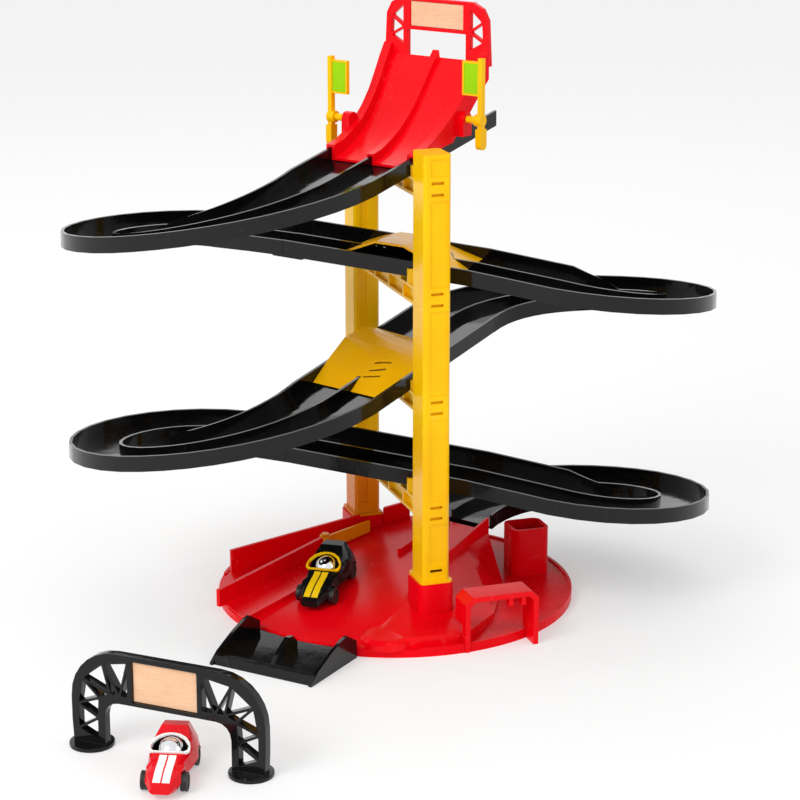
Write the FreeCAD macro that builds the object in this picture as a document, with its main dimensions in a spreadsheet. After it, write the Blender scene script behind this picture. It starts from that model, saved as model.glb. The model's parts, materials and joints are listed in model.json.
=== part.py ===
import FreeCAD, Part
import Sketcher
import math
import os

# Toy race tower: a round red base carries two yellow columns, and a black two-lane track winds down
# between them in four loops, left and right by turns, from a red start ramp to a black exit ramp.
# Millimetres, +Z up. The origin is on the underside of the base, at the centre of the disc.
# +X is to the right, +Y to the rear column. A strip of track crosses the origin's axis at each level.

V = FreeCAD.Vector
ORIGIN = V(0, 0, 0)
UP = V(0, 0, 1)

DIMENSIONS = [
    # The tower as a whole
    ("level_pitch", 90.0, "drop of the track from one crossing to the next"),
    ("crossing_top", 398.5, "top of the track walls at the highest crossing"),
    ("strip_angle", 34.5, "angle of a crossing strip to the X axis, degrees"),
    ("column_spacing", 184.0, "distance between the column centres"),
    # Track
    ("track_half", 43.0, "half width of the two-lane track"),
    ("track_wall", 2.6, "thickness of the track walls"),
    ("track_floor", 2.4, "thickness of the track floor"),
    ("track_height", 13.0, "height of the outer walls over the underside"),
    ("rib_height", 10.0, "height of the middle rib over the underside"),
    ("tip_radius", 73.0, "radius of a loop's centre line round its far end"),
    ("tip_reach", 233.0, "distance of a loop's far end from the columns' axis"),
    ("lead_start", 85.0, "length of steep strip before the wide bend begins"),
    ("steep_slope", 0.20, "slope of a crossing strip that runs to the left"),
    ("gentle_slope", 0.10, "slope of a crossing strip that runs to the right"),
    ("tip_slope", 0.18, "slope at the far end of a loop"),
    ("left_tip_drop", 65.0, "drop from a crossing to the far end of a left loop"),
    ("right_tip_drop", 50.0, "drop from a crossing to the far end of a right loop"),
    ("straight_zone", 70.0, "length of even slope on each side of a crossing"),
    ("joint_distance", 85.0, "distance of a track joint ahead of the next crossing"),
    ("joint_gap", 0.3, "gap between two track pieces"),
    ("tongue_reach", 13.0, "length of a connector tongue under each piece"),
    ("tongue_thickness", 4.4, "thickness of a connector tongue"),
    ("tongue_half", 30.0, "half width of a connector tongue"),
    # Columns
    ("column_width", 23.0, "column size along X"),
    ("column_depth", 29.0, "column size along Y"),
    ("column_wall", 2.7, "wall of the hollow columns"),
    ("column_chamfer", 2.2, "chamfer on the column corners"),
    ("first_seam", 100.0, "height of the lowest joint between column pieces"),
    ("column_top", 403.5, "top of the columns"),
    ("tenon_height", 12.0, "height of the plug on top of a column piece"),
    ("tenon_clearance", 0.3, "gap around a plug"),
    ("panel_depth", 0.9, "depth of the panel on a column's outer face"),
    ("panel_width", 15.0, "width of the panel on a column's outer face"),
    ("groove_width", 6.0, "width of the groove on a column's inner face"),
    ("groove_depth", 1.4, "depth of the groove on a column's inner face"),
    ("catch_width", 10.5, "width of the two catch slots over a joint"),
    ("catch_height", 2.4, "height of a catch slot"),
    ("catch_pitch", 9.4, "distance between the two catch slots"),
    ("bar_width", 12.0, "crossbar size along X"),
    ("bar_drop", 7.0, "crossbar below the joint"),
    ("bar_rise", 8.0, "crossbar above the joint"),
    ("bar_recess", 3.6, "depth of the recesses in the crossbar's sides"),
    ("saddle_offset", 26.0, "distance of a track saddle from the crossbar's middle"),
    ("saddle_length", 12.0, "length of a track saddle along Y"),
    ("seat_gap", 0.2, "gap between the track and what holds it"),
    ("clip_thickness", 2.5, "thickness of the clips beside the track"),
    ("clip_reach", 7.5, "height of the clips over the track's underside"),
    # Base
    ("base_radius", 153.5, "radius of the base disc"),
    ("base_height", 8.0, "height of the rim"),
    ("base_recess", 1.6, "depth of the top surface under the rim"),
    ("base_rim", 2.6, "width of the rim"),
    ("base_plate", 2.6, "thickness of the disc"),
    ("rib_radius", 85.0, "radius of the round rib under the disc"),
    ("base_boss", 14.0, "radius of the middle boss under the disc"),
    ("socket_width", 31.0, "column socket size along X"),
    ("socket_depth", 36.0, "column socket size along Y"),
    ("socket_top", 45.0, "top of the column sockets"),
    ("socket_corner", 7.0, "corner radius of the sockets"),
    ("foot_flange", 2.6, "thickness of the column's foot flange"),
    ("post_x", 121.0, "place of the spare socket along X"),
    ("post_y", -2.0, "place of the spare socket along Y"),
    ("post_width", 34.0, "size of the spare socket along X"),
    ("post_depth", 30.5, "size of the spare socket along Y"),
    ("post_wall", 3.2, "wall of the spare socket"),
    ("post_top", 49.0, "top of the spare socket"),
    ("hook_width", 64.0, "width of the side hook"),
    ("hook_height", 47.0, "height of the side hook"),
    ("hook_depth", 25.0, "depth of the side hook"),
    ("hook_wall", 4.5, "wall of the side hook"),
    # Finish deck
    ("deck_level", 33.0, "height of the deck over the disc's centre"),
    ("lane_fall", 25.3, "fall of the two rear lanes between the disc's centre and its rim"),
    ("exit_fall", 25.9, "fall of the exit lane between the disc's centre and its rim"),
    ("chute_fall", 21.5, "fall of the landing chute over the disc's radius"),
    ("deck_start", 78.0, "distance from the centre to the deck's upper end"),
    ("deck_wall", 3.0, "thickness of the deck's walls"),
    ("deck_wall_rise", 12.0, "height of the chute's walls over the lanes"),
    ("deck_rib_rise", 5.0, "height of the chute's middle rib over the lanes"),
    ("exit_angle", 222.0, "direction of the exit, degrees from the X axis"),
    ("exit_half", 48.0, "half width of the exit ramp"),
    ("exit_length", 66.0, "length of the exit ramp"),
    # Start ramp
    ("ramp_top", 57.0, "distance of the start ramp's top ahead of the crossing"),
    ("ramp_rise", 460.0, "height of the lanes at the top of the start ramp"),
    ("portal_half", 54.0, "half width of the portal"),
    ("portal_rise", 48.0, "height of the portal's top over the ramp's highest lanes"),
    ("portal_thickness", 5.0, "thickness of the portal"),
    ("portal_gate", 25.0, "height of the gate in the portal"),
    ("sign_edge", 3.0, "width of the frame round the start sign"),
    ("sign_depth", 3.8, "depth of the recess for the start sign"),
    ("lug_length", 8.0, "length of the lugs that carry the levers' axles"),
    ("lug_bore", 7.0, "depth of the holes in those lugs"),
    # Start levers
    ("near_lever_ahead", 28.0, "distance of the near lever ahead of the crossing"),
    ("far_lever_ahead", 0.0, "distance of the far lever ahead of the crossing"),
    ("lever_side", 65.0, "distance of the levers' posts from the track's centre line"),
    ("lever_rise", 12.5, "height of the levers' axles over the track's walls"),
    ("lever_axle", 3.0, "radius of the levers' axles"),
    ("lever_thickness", 4.0, "thickness of the levers"),
    ("pin_radius", 2.0, "radius of the diverter's pin"),
    ("pin_clearance", 0.08, "gap round a running pin or axle"),
    ("flag_width", 20.0, "width of a flag"),
    ("flag_height", 28.0, "height of a flag"),
    ("flag_low", 20.0, "height of a flag's lower edge over the axle"),
    ("flag_edge", 1.6, "width of the rim round a flag"),
    # Cars
    ("car_length", 82.0, "length of a car"),
    ("car_width", 36.0, "width of a car over the wings"),
    ("wheel_radius", 7.0, "radius of the car wheels"),
    ("wheel_width", 5.0, "width of the car wheels"),
    ("wheel_base", 44.0, "distance between a car's axles"),
    ("axle_radius", 1.5, "radius of a car axle"),
    ("driver_radius", 8.5, "radius of the silver ball"),
    ("ring_thickness", 1.8, "thickness of the trim round a cockpit"),
    # Finish arch
    ("arch_span", 133.0, "distance between the arch's feet"),
    ("arch_leg", 28.0, "width of the arch's legs"),
    ("arch_foot", 17.0, "radius of the arch's feet"),
    ("arch_height", 77.0, "height of the arch"),
    ("arch_depth", 8.0, "thickness of the arch"),
    ("arch_x", -267.1, "place of the arch along X"),
    ("arch_y", -277.4, "place of the arch along Y"),
    ("arch_turn", -42.5, "direction of the arch's span, degrees"),
]

doc = FreeCAD.newDocument("toy_race_tower")
sheet = doc.addObject("Spreadsheet::Sheet", "Sizes")
for row, (alias, value, meaning) in enumerate(DIMENSIONS, start=1):
    sheet.set(f"A{row}", meaning)
    sheet.set(f"B{row}", str(value))
    sheet.setAlias(f"B{row}", alias)
doc.recompute()


def size(alias):
    return float(sheet.get(alias))


# Values worked out from the driving sizes

ANGLE = math.radians(size("strip_angle"))
LEFTWARD = V(-math.cos(ANGLE), -math.sin(ANGLE), 0)
RIGHTWARD = V(math.cos(ANGLE), -math.sin(ANGLE), 0)
COLUMN_Y = size("column_spacing") / 2
TURN = math.pi + 2 * ANGLE
DISC_TOP = size("base_height") - size("base_recess")
FLOOR_DEPTH = size("track_height") - size("track_floor")


# Tools for outlines and solids


def outline(points):
    return Part.Wire(Part.makePolygon(list(points) + [points[0]]))


def flat(points, height=0.0):
    return Part.Face(outline([V(x, y, height) for x, y in points]))


def prism(points, low, high):
    """A solid over a plan outline, from one height to another."""
    return flat(points, low).extrude(V(0, 0, high - low))


def side_prism(points, left, right):
    """A solid with an outline in X and Z, drawn out along Y."""
    face = Part.Face(outline([V(x, left, z) for x, z in points]))
    return face.extrude(V(0, right - left, 0))


def box(x0, x1, y0, y1, z0, z1):
    return Part.makeBox(x1 - x0, y1 - y0, z1 - z0, V(x0, y0, z0))


def rod(radius, start, end):
    along = end - start
    return Part.makeCylinder(radius, along.Length, start, along)


def bar_between(a, b, width, low, high):
    """An upright plate whose plan runs from one point to another."""
    ax, ay = a
    bx, by = b
    length = math.hypot(bx - ax, by - ay)
    nx = -(by - ay) / length * width / 2
    ny = (bx - ax) / length * width / 2
    return prism([(ax + nx, ay + ny), (ax - nx, ay - ny), (bx - nx, by - ny), (bx + nx, by + ny)], low, high)


def rounded_box(width, depth, corner, low, high):
    """An upright box with rounded corners, centred on the axis."""
    x, y = width / 2, depth / 2
    core = box(-x, x, -y + corner, y - corner, low, high)
    core = core.fuse(box(-x + corner, x - corner, -y, y, low, high))
    for sx in (-1, 1):
        for sy in (-1, 1):
            centre = V(sx * (x - corner), sy * (y - corner), low)
            core = core.fuse(Part.makeCylinder(corner, high - low, centre))
    return core.removeSplitter()


def placed(shape, origin=ORIGIN, turn=0.0):
    """A copy turned about the upright axis, in degrees, then moved."""
    result = shape.copy()
    result.Placement = FreeCAD.Placement(origin, FreeCAD.Rotation(UP, turn)).multiply(result.Placement)
    return result


def one_solid(shape):
    joined = shape.removeSplitter()
    if len(joined.Solids) == 1:
        return joined.Solids[0]
    return joined


def finished(label, shape, origin=ORIGIN, turn=0.0):
    """Puts a finished solid in the document under its own label."""
    piece = doc.addObject("Part::Feature", label)
    piece.Label = label
    piece.Shape = one_solid(shape)
    moved = FreeCAD.Placement(origin, FreeCAD.Rotation(UP, turn))
    piece.Placement = moved.multiply(piece.Placement)
    PIECES.append(piece)
    return piece


PIECES = []


class Length:
    """A size with the text of its formula, so that a sketch stays bound to the sheet."""

    def __init__(self, value, text):
        self.value = value
        self.text = text

    def joined(self, other, sign, value):
        return Length(value, f"({self.text} {sign} {as_length(other).text})")

    def __add__(self, other):
        return self.joined(other, "+", self.value + as_length(other).value)

    def __sub__(self, other):
        return self.joined(other, "-", self.value - as_length(other).value)

    def __mul__(self, factor):
        return self.joined(factor, "*", self.value * factor)

    def __truediv__(self, factor):
        return self.joined(factor, "/", self.value / factor)

    def __radd__(self, other):
        return as_length(other) + self

    def __rsub__(self, other):
        return as_length(other) - self

    def __rmul__(self, factor):
        return self * factor

    def __neg__(self):
        return self * -1


def as_length(value):
    if isinstance(value, Length):
        return value
    return Length(float(value), f"({float(value):.9g})")


def cell(alias):
    return Length(size(alias), f"Sizes.{alias}")


class Moulding:
    """A body made of sketches and features, each sketch point fixed from the sheet's sizes."""

    PLANES = {"XY": ("XY_Plane", 1), "XZ": ("XZ_Plane", -1), "YZ": ("YZ_Plane", 1)}

    def __init__(self, label):
        self.body = doc.addObject("PartDesign::Body", label)
        self.body.Label = label
        PIECES.append(self.body)

    def origin(self, role):
        return next(item for item in self.body.Origin.OriginFeatures if item.Role == role)

    def sketch(self, plane, level, outlines):
        """A sketch on one of the body's planes, at a distance along X, Y or Z."""
        role, sign = self.PLANES[plane]
        sketch = self.body.newObject("Sketcher::SketchObject", "Sketch")
        sketch.AttachmentSupport = (self.origin(role), [""])
        sketch.MapMode = "FlatFace"
        offset = as_length(level) * sign
        sketch.AttachmentOffset = FreeCAD.Placement(V(0, 0, offset.value), FreeCAD.Rotation())
        sketch.setExpression("AttachmentOffset.Base.z", offset.text)
        rules, formulas = [], []
        for shape in outlines:
            self.draw(sketch, shape, rules, formulas)
        sketch.addConstraint(rules)
        for index, text in formulas:
            sketch.setExpression(f"Constraints[{index}]", text)
        return sketch

    def draw(self, sketch, shape, rules, formulas):
        first = sketch.GeometryCount
        if isinstance(shape, Disc):
            u, v, radius = (as_length(item) for item in shape.sizes)
            sketch.addGeometry(Part.Circle(V(u.value, v.value, 0), V(0, 0, 1), radius.value))
            self.fix(first, 3, u, v, rules, formulas)
            formulas.append((len(rules), radius.text))
            rules.append(Sketcher.Constraint("Radius", first, radius.value))
            return
        if isinstance(shape, RoundedBlock):
            self.draw_rounded(sketch, shape, rules, formulas)
            return
        points = [(as_length(u), as_length(v)) for u, v in shape]
        count = len(points)
        for k, (u, v) in enumerate(points):
            after = points[(k + 1) % count]
            sketch.addGeometry(Part.LineSegment(V(u.value, v.value, 0), V(after[0].value, after[1].value, 0)))
        for k, (u, v) in enumerate(points):
            rules.append(Sketcher.Constraint("Coincident", first + k, 2, first + (k + 1) % count, 1))
            self.fix(first + k, 1, u, v, rules, formulas)

    def draw_rounded(self, sketch, shape, rules, formulas):
        first = sketch.GeometryCount
        u, v, wide, deep, corner = (as_length(item) for item in shape.sizes)
        left, right, low, high = u - wide / 2, u + wide / 2, v - deep / 2, v + deep / 2
        runs = [
            ((left + corner, low), (right - corner, low), (right - corner, low + corner), 270),
            ((right, low + corner), (right, high - corner), (right - corner, high - corner), 0),
            ((right - corner, high), (left + corner, high), (left + corner, high - corner), 90),
            ((left, high - corner), (left, low + corner), (left + corner, low + corner), 180),
        ]
        for start, end, centre, angle in runs:
            ends = [V(u.value, v.value, 0) for u, v in (start, end)]
            sketch.addGeometry(Part.LineSegment(*ends))
            circle = Part.Circle(V(centre[0].value, centre[1].value, 0), V(0, 0, 1), corner.value)
            sketch.addGeometry(Part.ArcOfCircle(circle, math.radians(angle), math.radians(angle + 90)))
        for k, (start, end, centre, angle) in enumerate(runs):
            line, arc = first + 2 * k, first + 2 * k + 1
            rules.append(Sketcher.Constraint("Coincident", line, 2, arc, 1))
            rules.append(Sketcher.Constraint("Coincident", arc, 2, first + (2 * k + 2) % 8, 1))
            self.fix(line, 1, start[0], start[1], rules, formulas)
            self.fix(line, 2, end[0], end[1], rules, formulas)
            formulas.append((len(rules), corner.text))
            rules.append(Sketcher.Constraint("Radius", arc, corner.value))

    def fix(self, geometry, point, u, v, rules, formulas):
        """Holds a point at its two distances from the body's origin."""
        for kind, length, axis in (("DistanceX", u, -2), ("DistanceY", v, -1)):
            if abs(length.value) < 1e-7:
                rules.append(Sketcher.Constraint("PointOnObject", geometry, point, axis))
                continue
            if "Sizes" in length.text:
                formulas.append((len(rules), length.text))
            rules.append(Sketcher.Constraint(kind, -1, 1, geometry, point, length.value))

    def feature(self, kind, sketch, reach):
        feature = self.body.newObject(kind, kind.split("::")[1])
        feature.Profile = sketch
        feature.Length = reach.value
        feature.setExpression("Length", reach.text)
        sketch.Visibility = False
        return feature

    def pad(self, plane, outlines, low, high):
        """Adds a slab between two distances along the plane's axis."""
        start = high if plane == "XZ" else low
        return self.feature("PartDesign::Pad", self.sketch(plane, start, outlines), as_length(high) - low)

    def pocket(self, plane, outlines, low, high):
        """Cuts a slab between two distances along the plane's axis."""
        start = low if plane == "XZ" else high
        return self.feature("PartDesign::Pocket", self.sketch(plane, start, outlines), as_length(high) - low)

    def wedge(self, plane, first, second):
        """Adds the straight-sided solid between two sketches, each a distance and an outline."""
        loft = self.body.newObject("PartDesign::AdditiveLoft", "Wedge")
        loft.Profile = self.sketch(plane, first[0], [first[1]])
        loft.Sections = [self.sketch(plane, second[0], [second[1]])]
        loft.Ruled = True
        return loft

    def around(self, feature, copies):
        """Repeats a feature round the body's upright axis."""
        pattern = self.body.newObject("PartDesign::PolarPattern", "Pattern")
        pattern.Originals = [feature]
        pattern.Axis = (self.origin("Z_Axis"), [""])
        pattern.Angle = 360
        pattern.Occurrences = copies
        self.body.Tip = pattern
        return pattern

    def put(self, origin=ORIGIN, turn=0.0):
        self.body.Placement = FreeCAD.Placement(origin, FreeCAD.Rotation(UP, turn))


class Disc:
    """A circle for a sketch: centre and radius."""

    def __init__(self, u, v, radius):
        self.sizes = (u, v, radius)


class RoundedBlock:
    """A rounded rectangle for a sketch: centre, width, depth and corner radius."""

    def __init__(self, u, v, wide, deep, corner):
        self.sizes = (u, v, wide, deep, corner)


def rectangle(left, right, low, high):
    return [(left, low), (right, low), (right, high), (left, high)]


def ring_of_points(u, v, radius, count, start=0.0, sweep=360.0):
    """Points round a circle for a facetted outline."""
    steps = count if sweep >= 360 else count - 1
    turns = [math.radians(start + sweep * k / steps) for k in range(count)]
    return [(u + radius * math.cos(turn), v + radius * math.sin(turn)) for turn in turns]


def mirrored(points):
    """The same outline on the other side of the second axis."""
    return [(-as_length(u), v) for u, v in reversed(points)]


# Path of the track


def crossing_rim(level):
    """Top of the walls where the track crosses between the columns, at level 1 to 5."""
    return size("crossing_top") - size("level_pitch") * (level - 1)


def hermite(u, start, end, start_slope, end_slope, span):
    """Smooth height between two points with given slopes."""
    u2, u3 = u * u, u * u * u
    value = (2 * u3 - 3 * u2 + 1) * start + (3 * u2 - 2 * u3) * end
    return value + span * ((u3 - 2 * u2 + u) * start_slope + (u3 - u2) * end_slope)


def drop_along(distance, side):
    """Drop of the track at a distance past the crossing that a loop starts from."""
    zone = size("straight_zone")
    slope_in = size("steep_slope") if side < 0 else size("gentle_slope")
    slope_out = size("gentle_slope") if side < 0 else size("steep_slope")
    tip_drop = size("left_tip_drop") if side < 0 else size("right_tip_drop")
    half = TIP_DISTANCE if side < 0 else LOOP_LENGTH - TIP_DISTANCE
    if distance <= zone:
        return slope_in * distance
    if distance >= LOOP_LENGTH - zone:
        return size("level_pitch") - slope_out * (LOOP_LENGTH - distance)
    if distance <= half:
        span = half - zone
        u = (distance - zone) / span
        return hermite(u, slope_in * zone, tip_drop, slope_in, size("tip_slope"), span)
    span = LOOP_LENGTH - zone - half
    u = (distance - half) / span
    end = size("level_pitch") - slope_out * zone
    return hermite(u, tip_drop, end, size("tip_slope"), slope_out, span)


def plan_point(distance, side):
    """Plan position on a loop. A right loop is a left one turned half round and run backward."""
    if side > 0:
        x, y = plan_point(LOOP_LENGTH - distance, -1)
        return -x, -y
    if distance < 0:
        x, y = plan_point(-distance, -1)
        return -x, -y
    start = size("lead_start")
    heading = math.pi + ANGLE
    ahead = V(math.cos(heading), math.sin(heading), 0)
    inward = V(ahead.y, -ahead.x, 0)
    if distance <= start:
        point = ahead * distance
    elif distance <= start + LEAD_RADIUS * LEAD_TURN:
        turned = (distance - start) / LEAD_RADIUS
        centre = ahead * start + inward * LEAD_RADIUS
        point = centre + (ahead * math.sin(turned) - inward * math.cos(turned)) * LEAD_RADIUS
    elif distance <= LOOP_LENGTH - RUN_OUT:
        radius = size("tip_radius")
        turned = LEAD_TURN + (distance - start - LEAD_RADIUS * LEAD_TURN) / radius
        point = TIP_CENTRE + (ahead * math.sin(turned) - inward * math.cos(turned)) * radius
    else:
        heading -= TURN
        point = V(math.cos(heading), math.sin(heading), 0) * (distance - LOOP_LENGTH)
    return point.x, point.y


def loop_layout():
    """Works out the two bends of a loop, which touch each other and both strips."""
    radius, start = size("tip_radius"), size("lead_start")
    x = radius - size("tip_reach")
    y = -x * math.tan(ANGLE) - radius / math.cos(ANGLE)
    centre = V(x, y, 0)
    along = centre.dot(LEFTWARD)
    aside = centre.dot(V(LEFTWARD.y, -LEFTWARD.x, 0))
    lead_radius = (((along - start) ** 2) / (aside - radius) + aside + radius) / 2
    lead_turn = math.atan2(along - start, lead_radius - aside)
    run_out = -centre.dot(RIGHTWARD)
    length = start + lead_radius * lead_turn + radius * (TURN - lead_turn) + run_out
    tip = start + lead_radius * lead_turn + radius * (math.pi / 2 + ANGLE - lead_turn)
    return centre, lead_radius, lead_turn, run_out, length, tip


TIP_CENTRE, LEAD_RADIUS, LEAD_TURN, RUN_OUT, LOOP_LENGTH, TIP_DISTANCE = loop_layout()


def plan_along(distance, side):
    """Plan position and heading on a loop."""
    x, y = plan_point(distance, side)
    before, after = plan_point(distance - 0.5, side), plan_point(distance + 0.5, side)
    return x, y, math.atan2(after[1] - before[1], after[0] - before[0])


def facet_shell(sections):
    """A solid of flat facets through closed outlines that all have the same number of points."""
    count = len(sections[0])
    faces = [Part.Face(outline(sections[0])), Part.Face(outline(sections[-1]))]
    for before, after in zip(sections, sections[1:]):
        for k in range(count):
            a, b = before[k], before[(k + 1) % count]
            c, d = after[(k + 1) % count], after[k]
            for corners in ((a, b, c), (a, c, d)):
                if (corners[1] - corners[0]).cross(corners[2] - corners[0]).Length > 1e-6:
                    faces.append(Part.Face(outline(corners)))
    solid = Part.Solid(Part.Shell(faces))
    if solid.Volume < 0:
        solid.reverse()
    return solid.removeSplitter()


def section_at(distance, side, level, profile):
    """The track's cross-section, upright and square to the path."""
    x, y, heading = plan_along(distance, side)
    across = V(-math.sin(heading), math.cos(heading), 0)
    base = V(x, y, crossing_rim(level) - drop_along(distance, side) - size("track_height"))
    return [base + across * offset + UP * height for offset, height in profile]


def track_profile():
    half, wall, floor = size("track_half"), size("track_wall"), size("track_floor")
    height, rib = size("track_height"), size("rib_height")
    return [
        (-half, 0),
        (half, 0),
        (half, height),
        (half - wall, height),
        (half - wall, floor),
        (wall / 2, floor),
        (wall / 2, rib),
        (-wall / 2, rib),
        (-wall / 2, floor),
        (wall - half, floor),
        (wall - half, height),
        (-half, height),
    ]


ARC_SPANS = 25


def path_stations(start, end, side):
    """Distances of the cross-sections: few on the straights, close together round the bends."""
    bend = (size("lead_start"), LOOP_LENGTH - RUN_OUT)
    if side > 0:
        bend = (RUN_OUT, LOOP_LENGTH - size("lead_start"))
    inner = [bend[0] + (bend[1] - bend[0]) * k / ARC_SPANS for k in range(ARC_SPANS + 1)]
    lead = [start] if side > 0 else [start, (start - size("lead_start")) / 2, -size("lead_start")]
    tail = [(bend[1] + end) / 2] if side < 0 else []
    stations = lead + [0, bend[0] * 0.5] + inner + tail + [end]
    return sorted({round(item, 4) for item in stations if start <= item <= end})


def track_loop(level):
    """One moulded piece: from its joint, over a crossing, round a loop and on to the next joint."""
    side = -1 if level % 2 else 1
    start = -size("joint_distance")
    end = LOOP_LENGTH - size("joint_distance") - size("joint_gap")
    profile = track_profile()
    sections = [section_at(s, side, level, profile) for s in path_stations(start, end, side)]
    loop = facet_shell(sections)
    x, y, heading = plan_along(end, side)
    slope = size("gentle_slope") if side < 0 else size("steep_slope")
    under = crossing_rim(level) - drop_along(end, side) - size("track_height")
    reach, thick, half = size("tongue_reach"), size("tongue_thickness"), size("tongue_half")
    gap = size("seat_gap")
    top = [(-reach, slope * reach), (0, 0), (0, -gap), (reach, -gap - slope * reach)]
    low = [(reach, -gap - thick - slope * reach), (-reach, slope * reach - gap - thick)]
    tongue = side_prism(top + low, -half, half)
    tongue = placed(tongue, V(x, y, under), math.degrees(heading))
    return loop.fuse(tongue)


# Columns


def column_outline(middle, shrink):
    """Chamfered plan of a column, centred on the Y axis at a distance."""
    x = cell("column_width") / 2 - shrink
    y = cell("column_depth") / 2 - shrink
    c = cell("column_chamfer")
    points = [(c - x, middle - y), (x - c, middle - y), (x, middle - y + c), (x, middle + y - c)]
    return points + [(x - c, middle + y), (c - x, middle + y), (-x, middle + y - c), (-x, middle - y + c)]


PANEL_SHIFT = 1.5
COLUMN_EDGE = 4.0


def cut_into(body, outlines, face, inward, depth):
    """A pocket from a face square to Y, to a depth toward the inside."""
    if inward > 0:
        body.pocket("XZ", outlines, face, face + depth)
    else:
        body.pocket("XZ", outlines, face - depth, face)


def column_features(body, middle, outward, low, high, slots):
    """Panel and catch slots on a column's outer face and the groove on its inner face."""
    half = cell("column_depth") / 2
    panel = cell("panel_width") / 2
    floor = low + cell("catch_pitch") + cell("catch_height")
    field = rectangle(PANEL_SHIFT - panel, PANEL_SHIFT + panel, floor + COLUMN_EDGE, high - COLUMN_EDGE)
    cut_into(body, [field], middle + outward * half, -outward, cell("panel_depth"))
    catch = cell("catch_width") / 2
    rows = [low + cell("catch_pitch") * k for k in slots]
    openings = [rectangle(-catch, catch, row, row + cell("catch_height")) for row in rows]
    cut_into(body, openings, middle + outward * half, -outward, cell("column_wall") + 1)
    groove_low = low + cell("bar_rise") + COLUMN_EDGE
    groove_high = high - COLUMN_EDGE - cell("bar_drop")
    groove = rectangle(-cell("groove_width"), 0, groove_low, groove_high)
    cut_into(body, [groove], middle - outward * half, outward, cell("groove_depth"))


def rim_cell(level):
    return cell("crossing_top") - cell("level_pitch") * (level - 1)


def strip_under(level, x, y):
    """Underside of the crossing strip over a plan point near the columns' axis."""
    heading = LEFTWARD if level % 2 else RIGHTWARD
    slope = cell("steep_slope") if level % 2 else cell("gentle_slope")
    return rim_cell(level) - cell("track_height") - slope * (x * heading.x + y * heading.y)


def crossbar(frame, level, joint):
    """The bar under a crossing strip, with recessed sides, saddles and side clips."""
    half = cell("bar_width") / 2
    inner = cell("column_spacing") / 2 - cell("column_depth") / 2
    low, high = joint - cell("bar_drop"), joint + cell("bar_rise")
    short = inner - cell("tenon_clearance")
    frame.pad("XY", [rectangle(-half, half, -short, short)], low, joint)
    frame.pad("XY", [rectangle(-half, half, -inner, inner)], joint, high)
    bays = []
    for k in range(BAYS):
        start = -short + BAY_RIB + (2 * short - BAY_RIB) * (k / BAYS)
        end = -short + (2 * short - BAY_RIB) * ((k + 1) / BAYS)
        bays.append(rectangle(start, end, low + BAY_EDGE, high - BAY_EDGE))
    frame.pocket("YZ", bays, half - cell("bar_recess"), half)
    frame.pocket("YZ", bays, -half, cell("bar_recess") - half)
    gap = cell("seat_gap")
    reach = half.value
    for side in (-1, 1):
        middle = side * size("saddle_offset")
        ends = (middle - size("saddle_length") / 2, middle + size("saddle_length") / 2)
        profiles = []
        for x in (-reach, reach):
            seat = [(y, strip_under(level, x, y) - gap) for y in ends]
            profiles.append((x, [(ends[0], high - 0.5), (ends[1], high - 0.5), seat[1], seat[0]]))
        frame.wedge("YZ", *profiles)
    offset = cell("track_half") + gap + cell("clip_thickness") / 2
    lean = math.tan(ANGLE) * (1 if level % 2 else -1)
    thick = cell("clip_thickness") / (2 * math.cos(ANGLE))
    for side in (-1, 1):
        y = offset * (side / math.cos(ANGLE))
        clip = [(-half, y - thick - half * lean), (half, y - thick + half * lean)]
        clip += [(half, y + thick + half * lean), (-half, y + thick - half * lean)]
        frame.pad("XY", [clip], high - 1, strip_under(level, 0, y.value) + cell("clip_reach"))


BAYS = 4
BAY_RIB = 3.0
BAY_EDGE = 2.5


def tower_frame(index, name):
    """An H frame: two column lengths and the crossbar at their lower end."""
    low = cell("first_seam") + cell("level_pitch") * index
    is_top = index == 3
    high = cell("column_top") if is_top else low + cell("level_pitch")
    frame = Moulding(name)
    crossbar(frame, 4 - index, low)
    middle, wall = cell("column_spacing") / 2, cell("column_wall")
    frame.pad("XY", [column_outline(side * middle, 0) for side in (-1, 1)], low, high)
    frame.pocket("XY", [column_outline(side * middle, wall) for side in (-1, 1)], low, high - 2 * wall)
    for side in (-1, 1):
        column_features(frame, side * middle, side, low, high, (0, 1))
    if not is_top:
        shrink = wall + cell("tenon_clearance")
        plugs = [column_outline(side * middle, shrink) for side in (-1, 1)]
        frame.pad("XY", plugs, high - wall, high + cell("tenon_height"))


def foot_post(outward, name):
    """The lowest column length, which plugs into the base with a flange on the socket."""
    low = cell("base_height") - cell("base_recess") + SOCKET_FLOOR
    top, high = cell("socket_top"), cell("first_seam")
    wall = cell("column_wall")
    post = Moulding(name)
    post.pad("XY", [column_outline(0, 0)], low, high)
    post.pad("XY", [column_outline(0, -2.2)], top, top + cell("foot_flange"))
    post.pocket("XY", [column_outline(0, wall)], low, high - 2 * wall)
    column_features(post, 0, outward, top, high, (1,))
    plug = column_outline(0, wall + cell("tenon_clearance"))
    post.pad("XY", [plug], high - wall, high + cell("tenon_height"))
    post.put(V(0, outward * COLUMN_Y, 0))


SOCKET_FLOOR = 6.0


# Base


def polar(radius, degrees):
    return radius * math.cos(math.radians(degrees)), radius * math.sin(math.radians(degrees))


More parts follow.
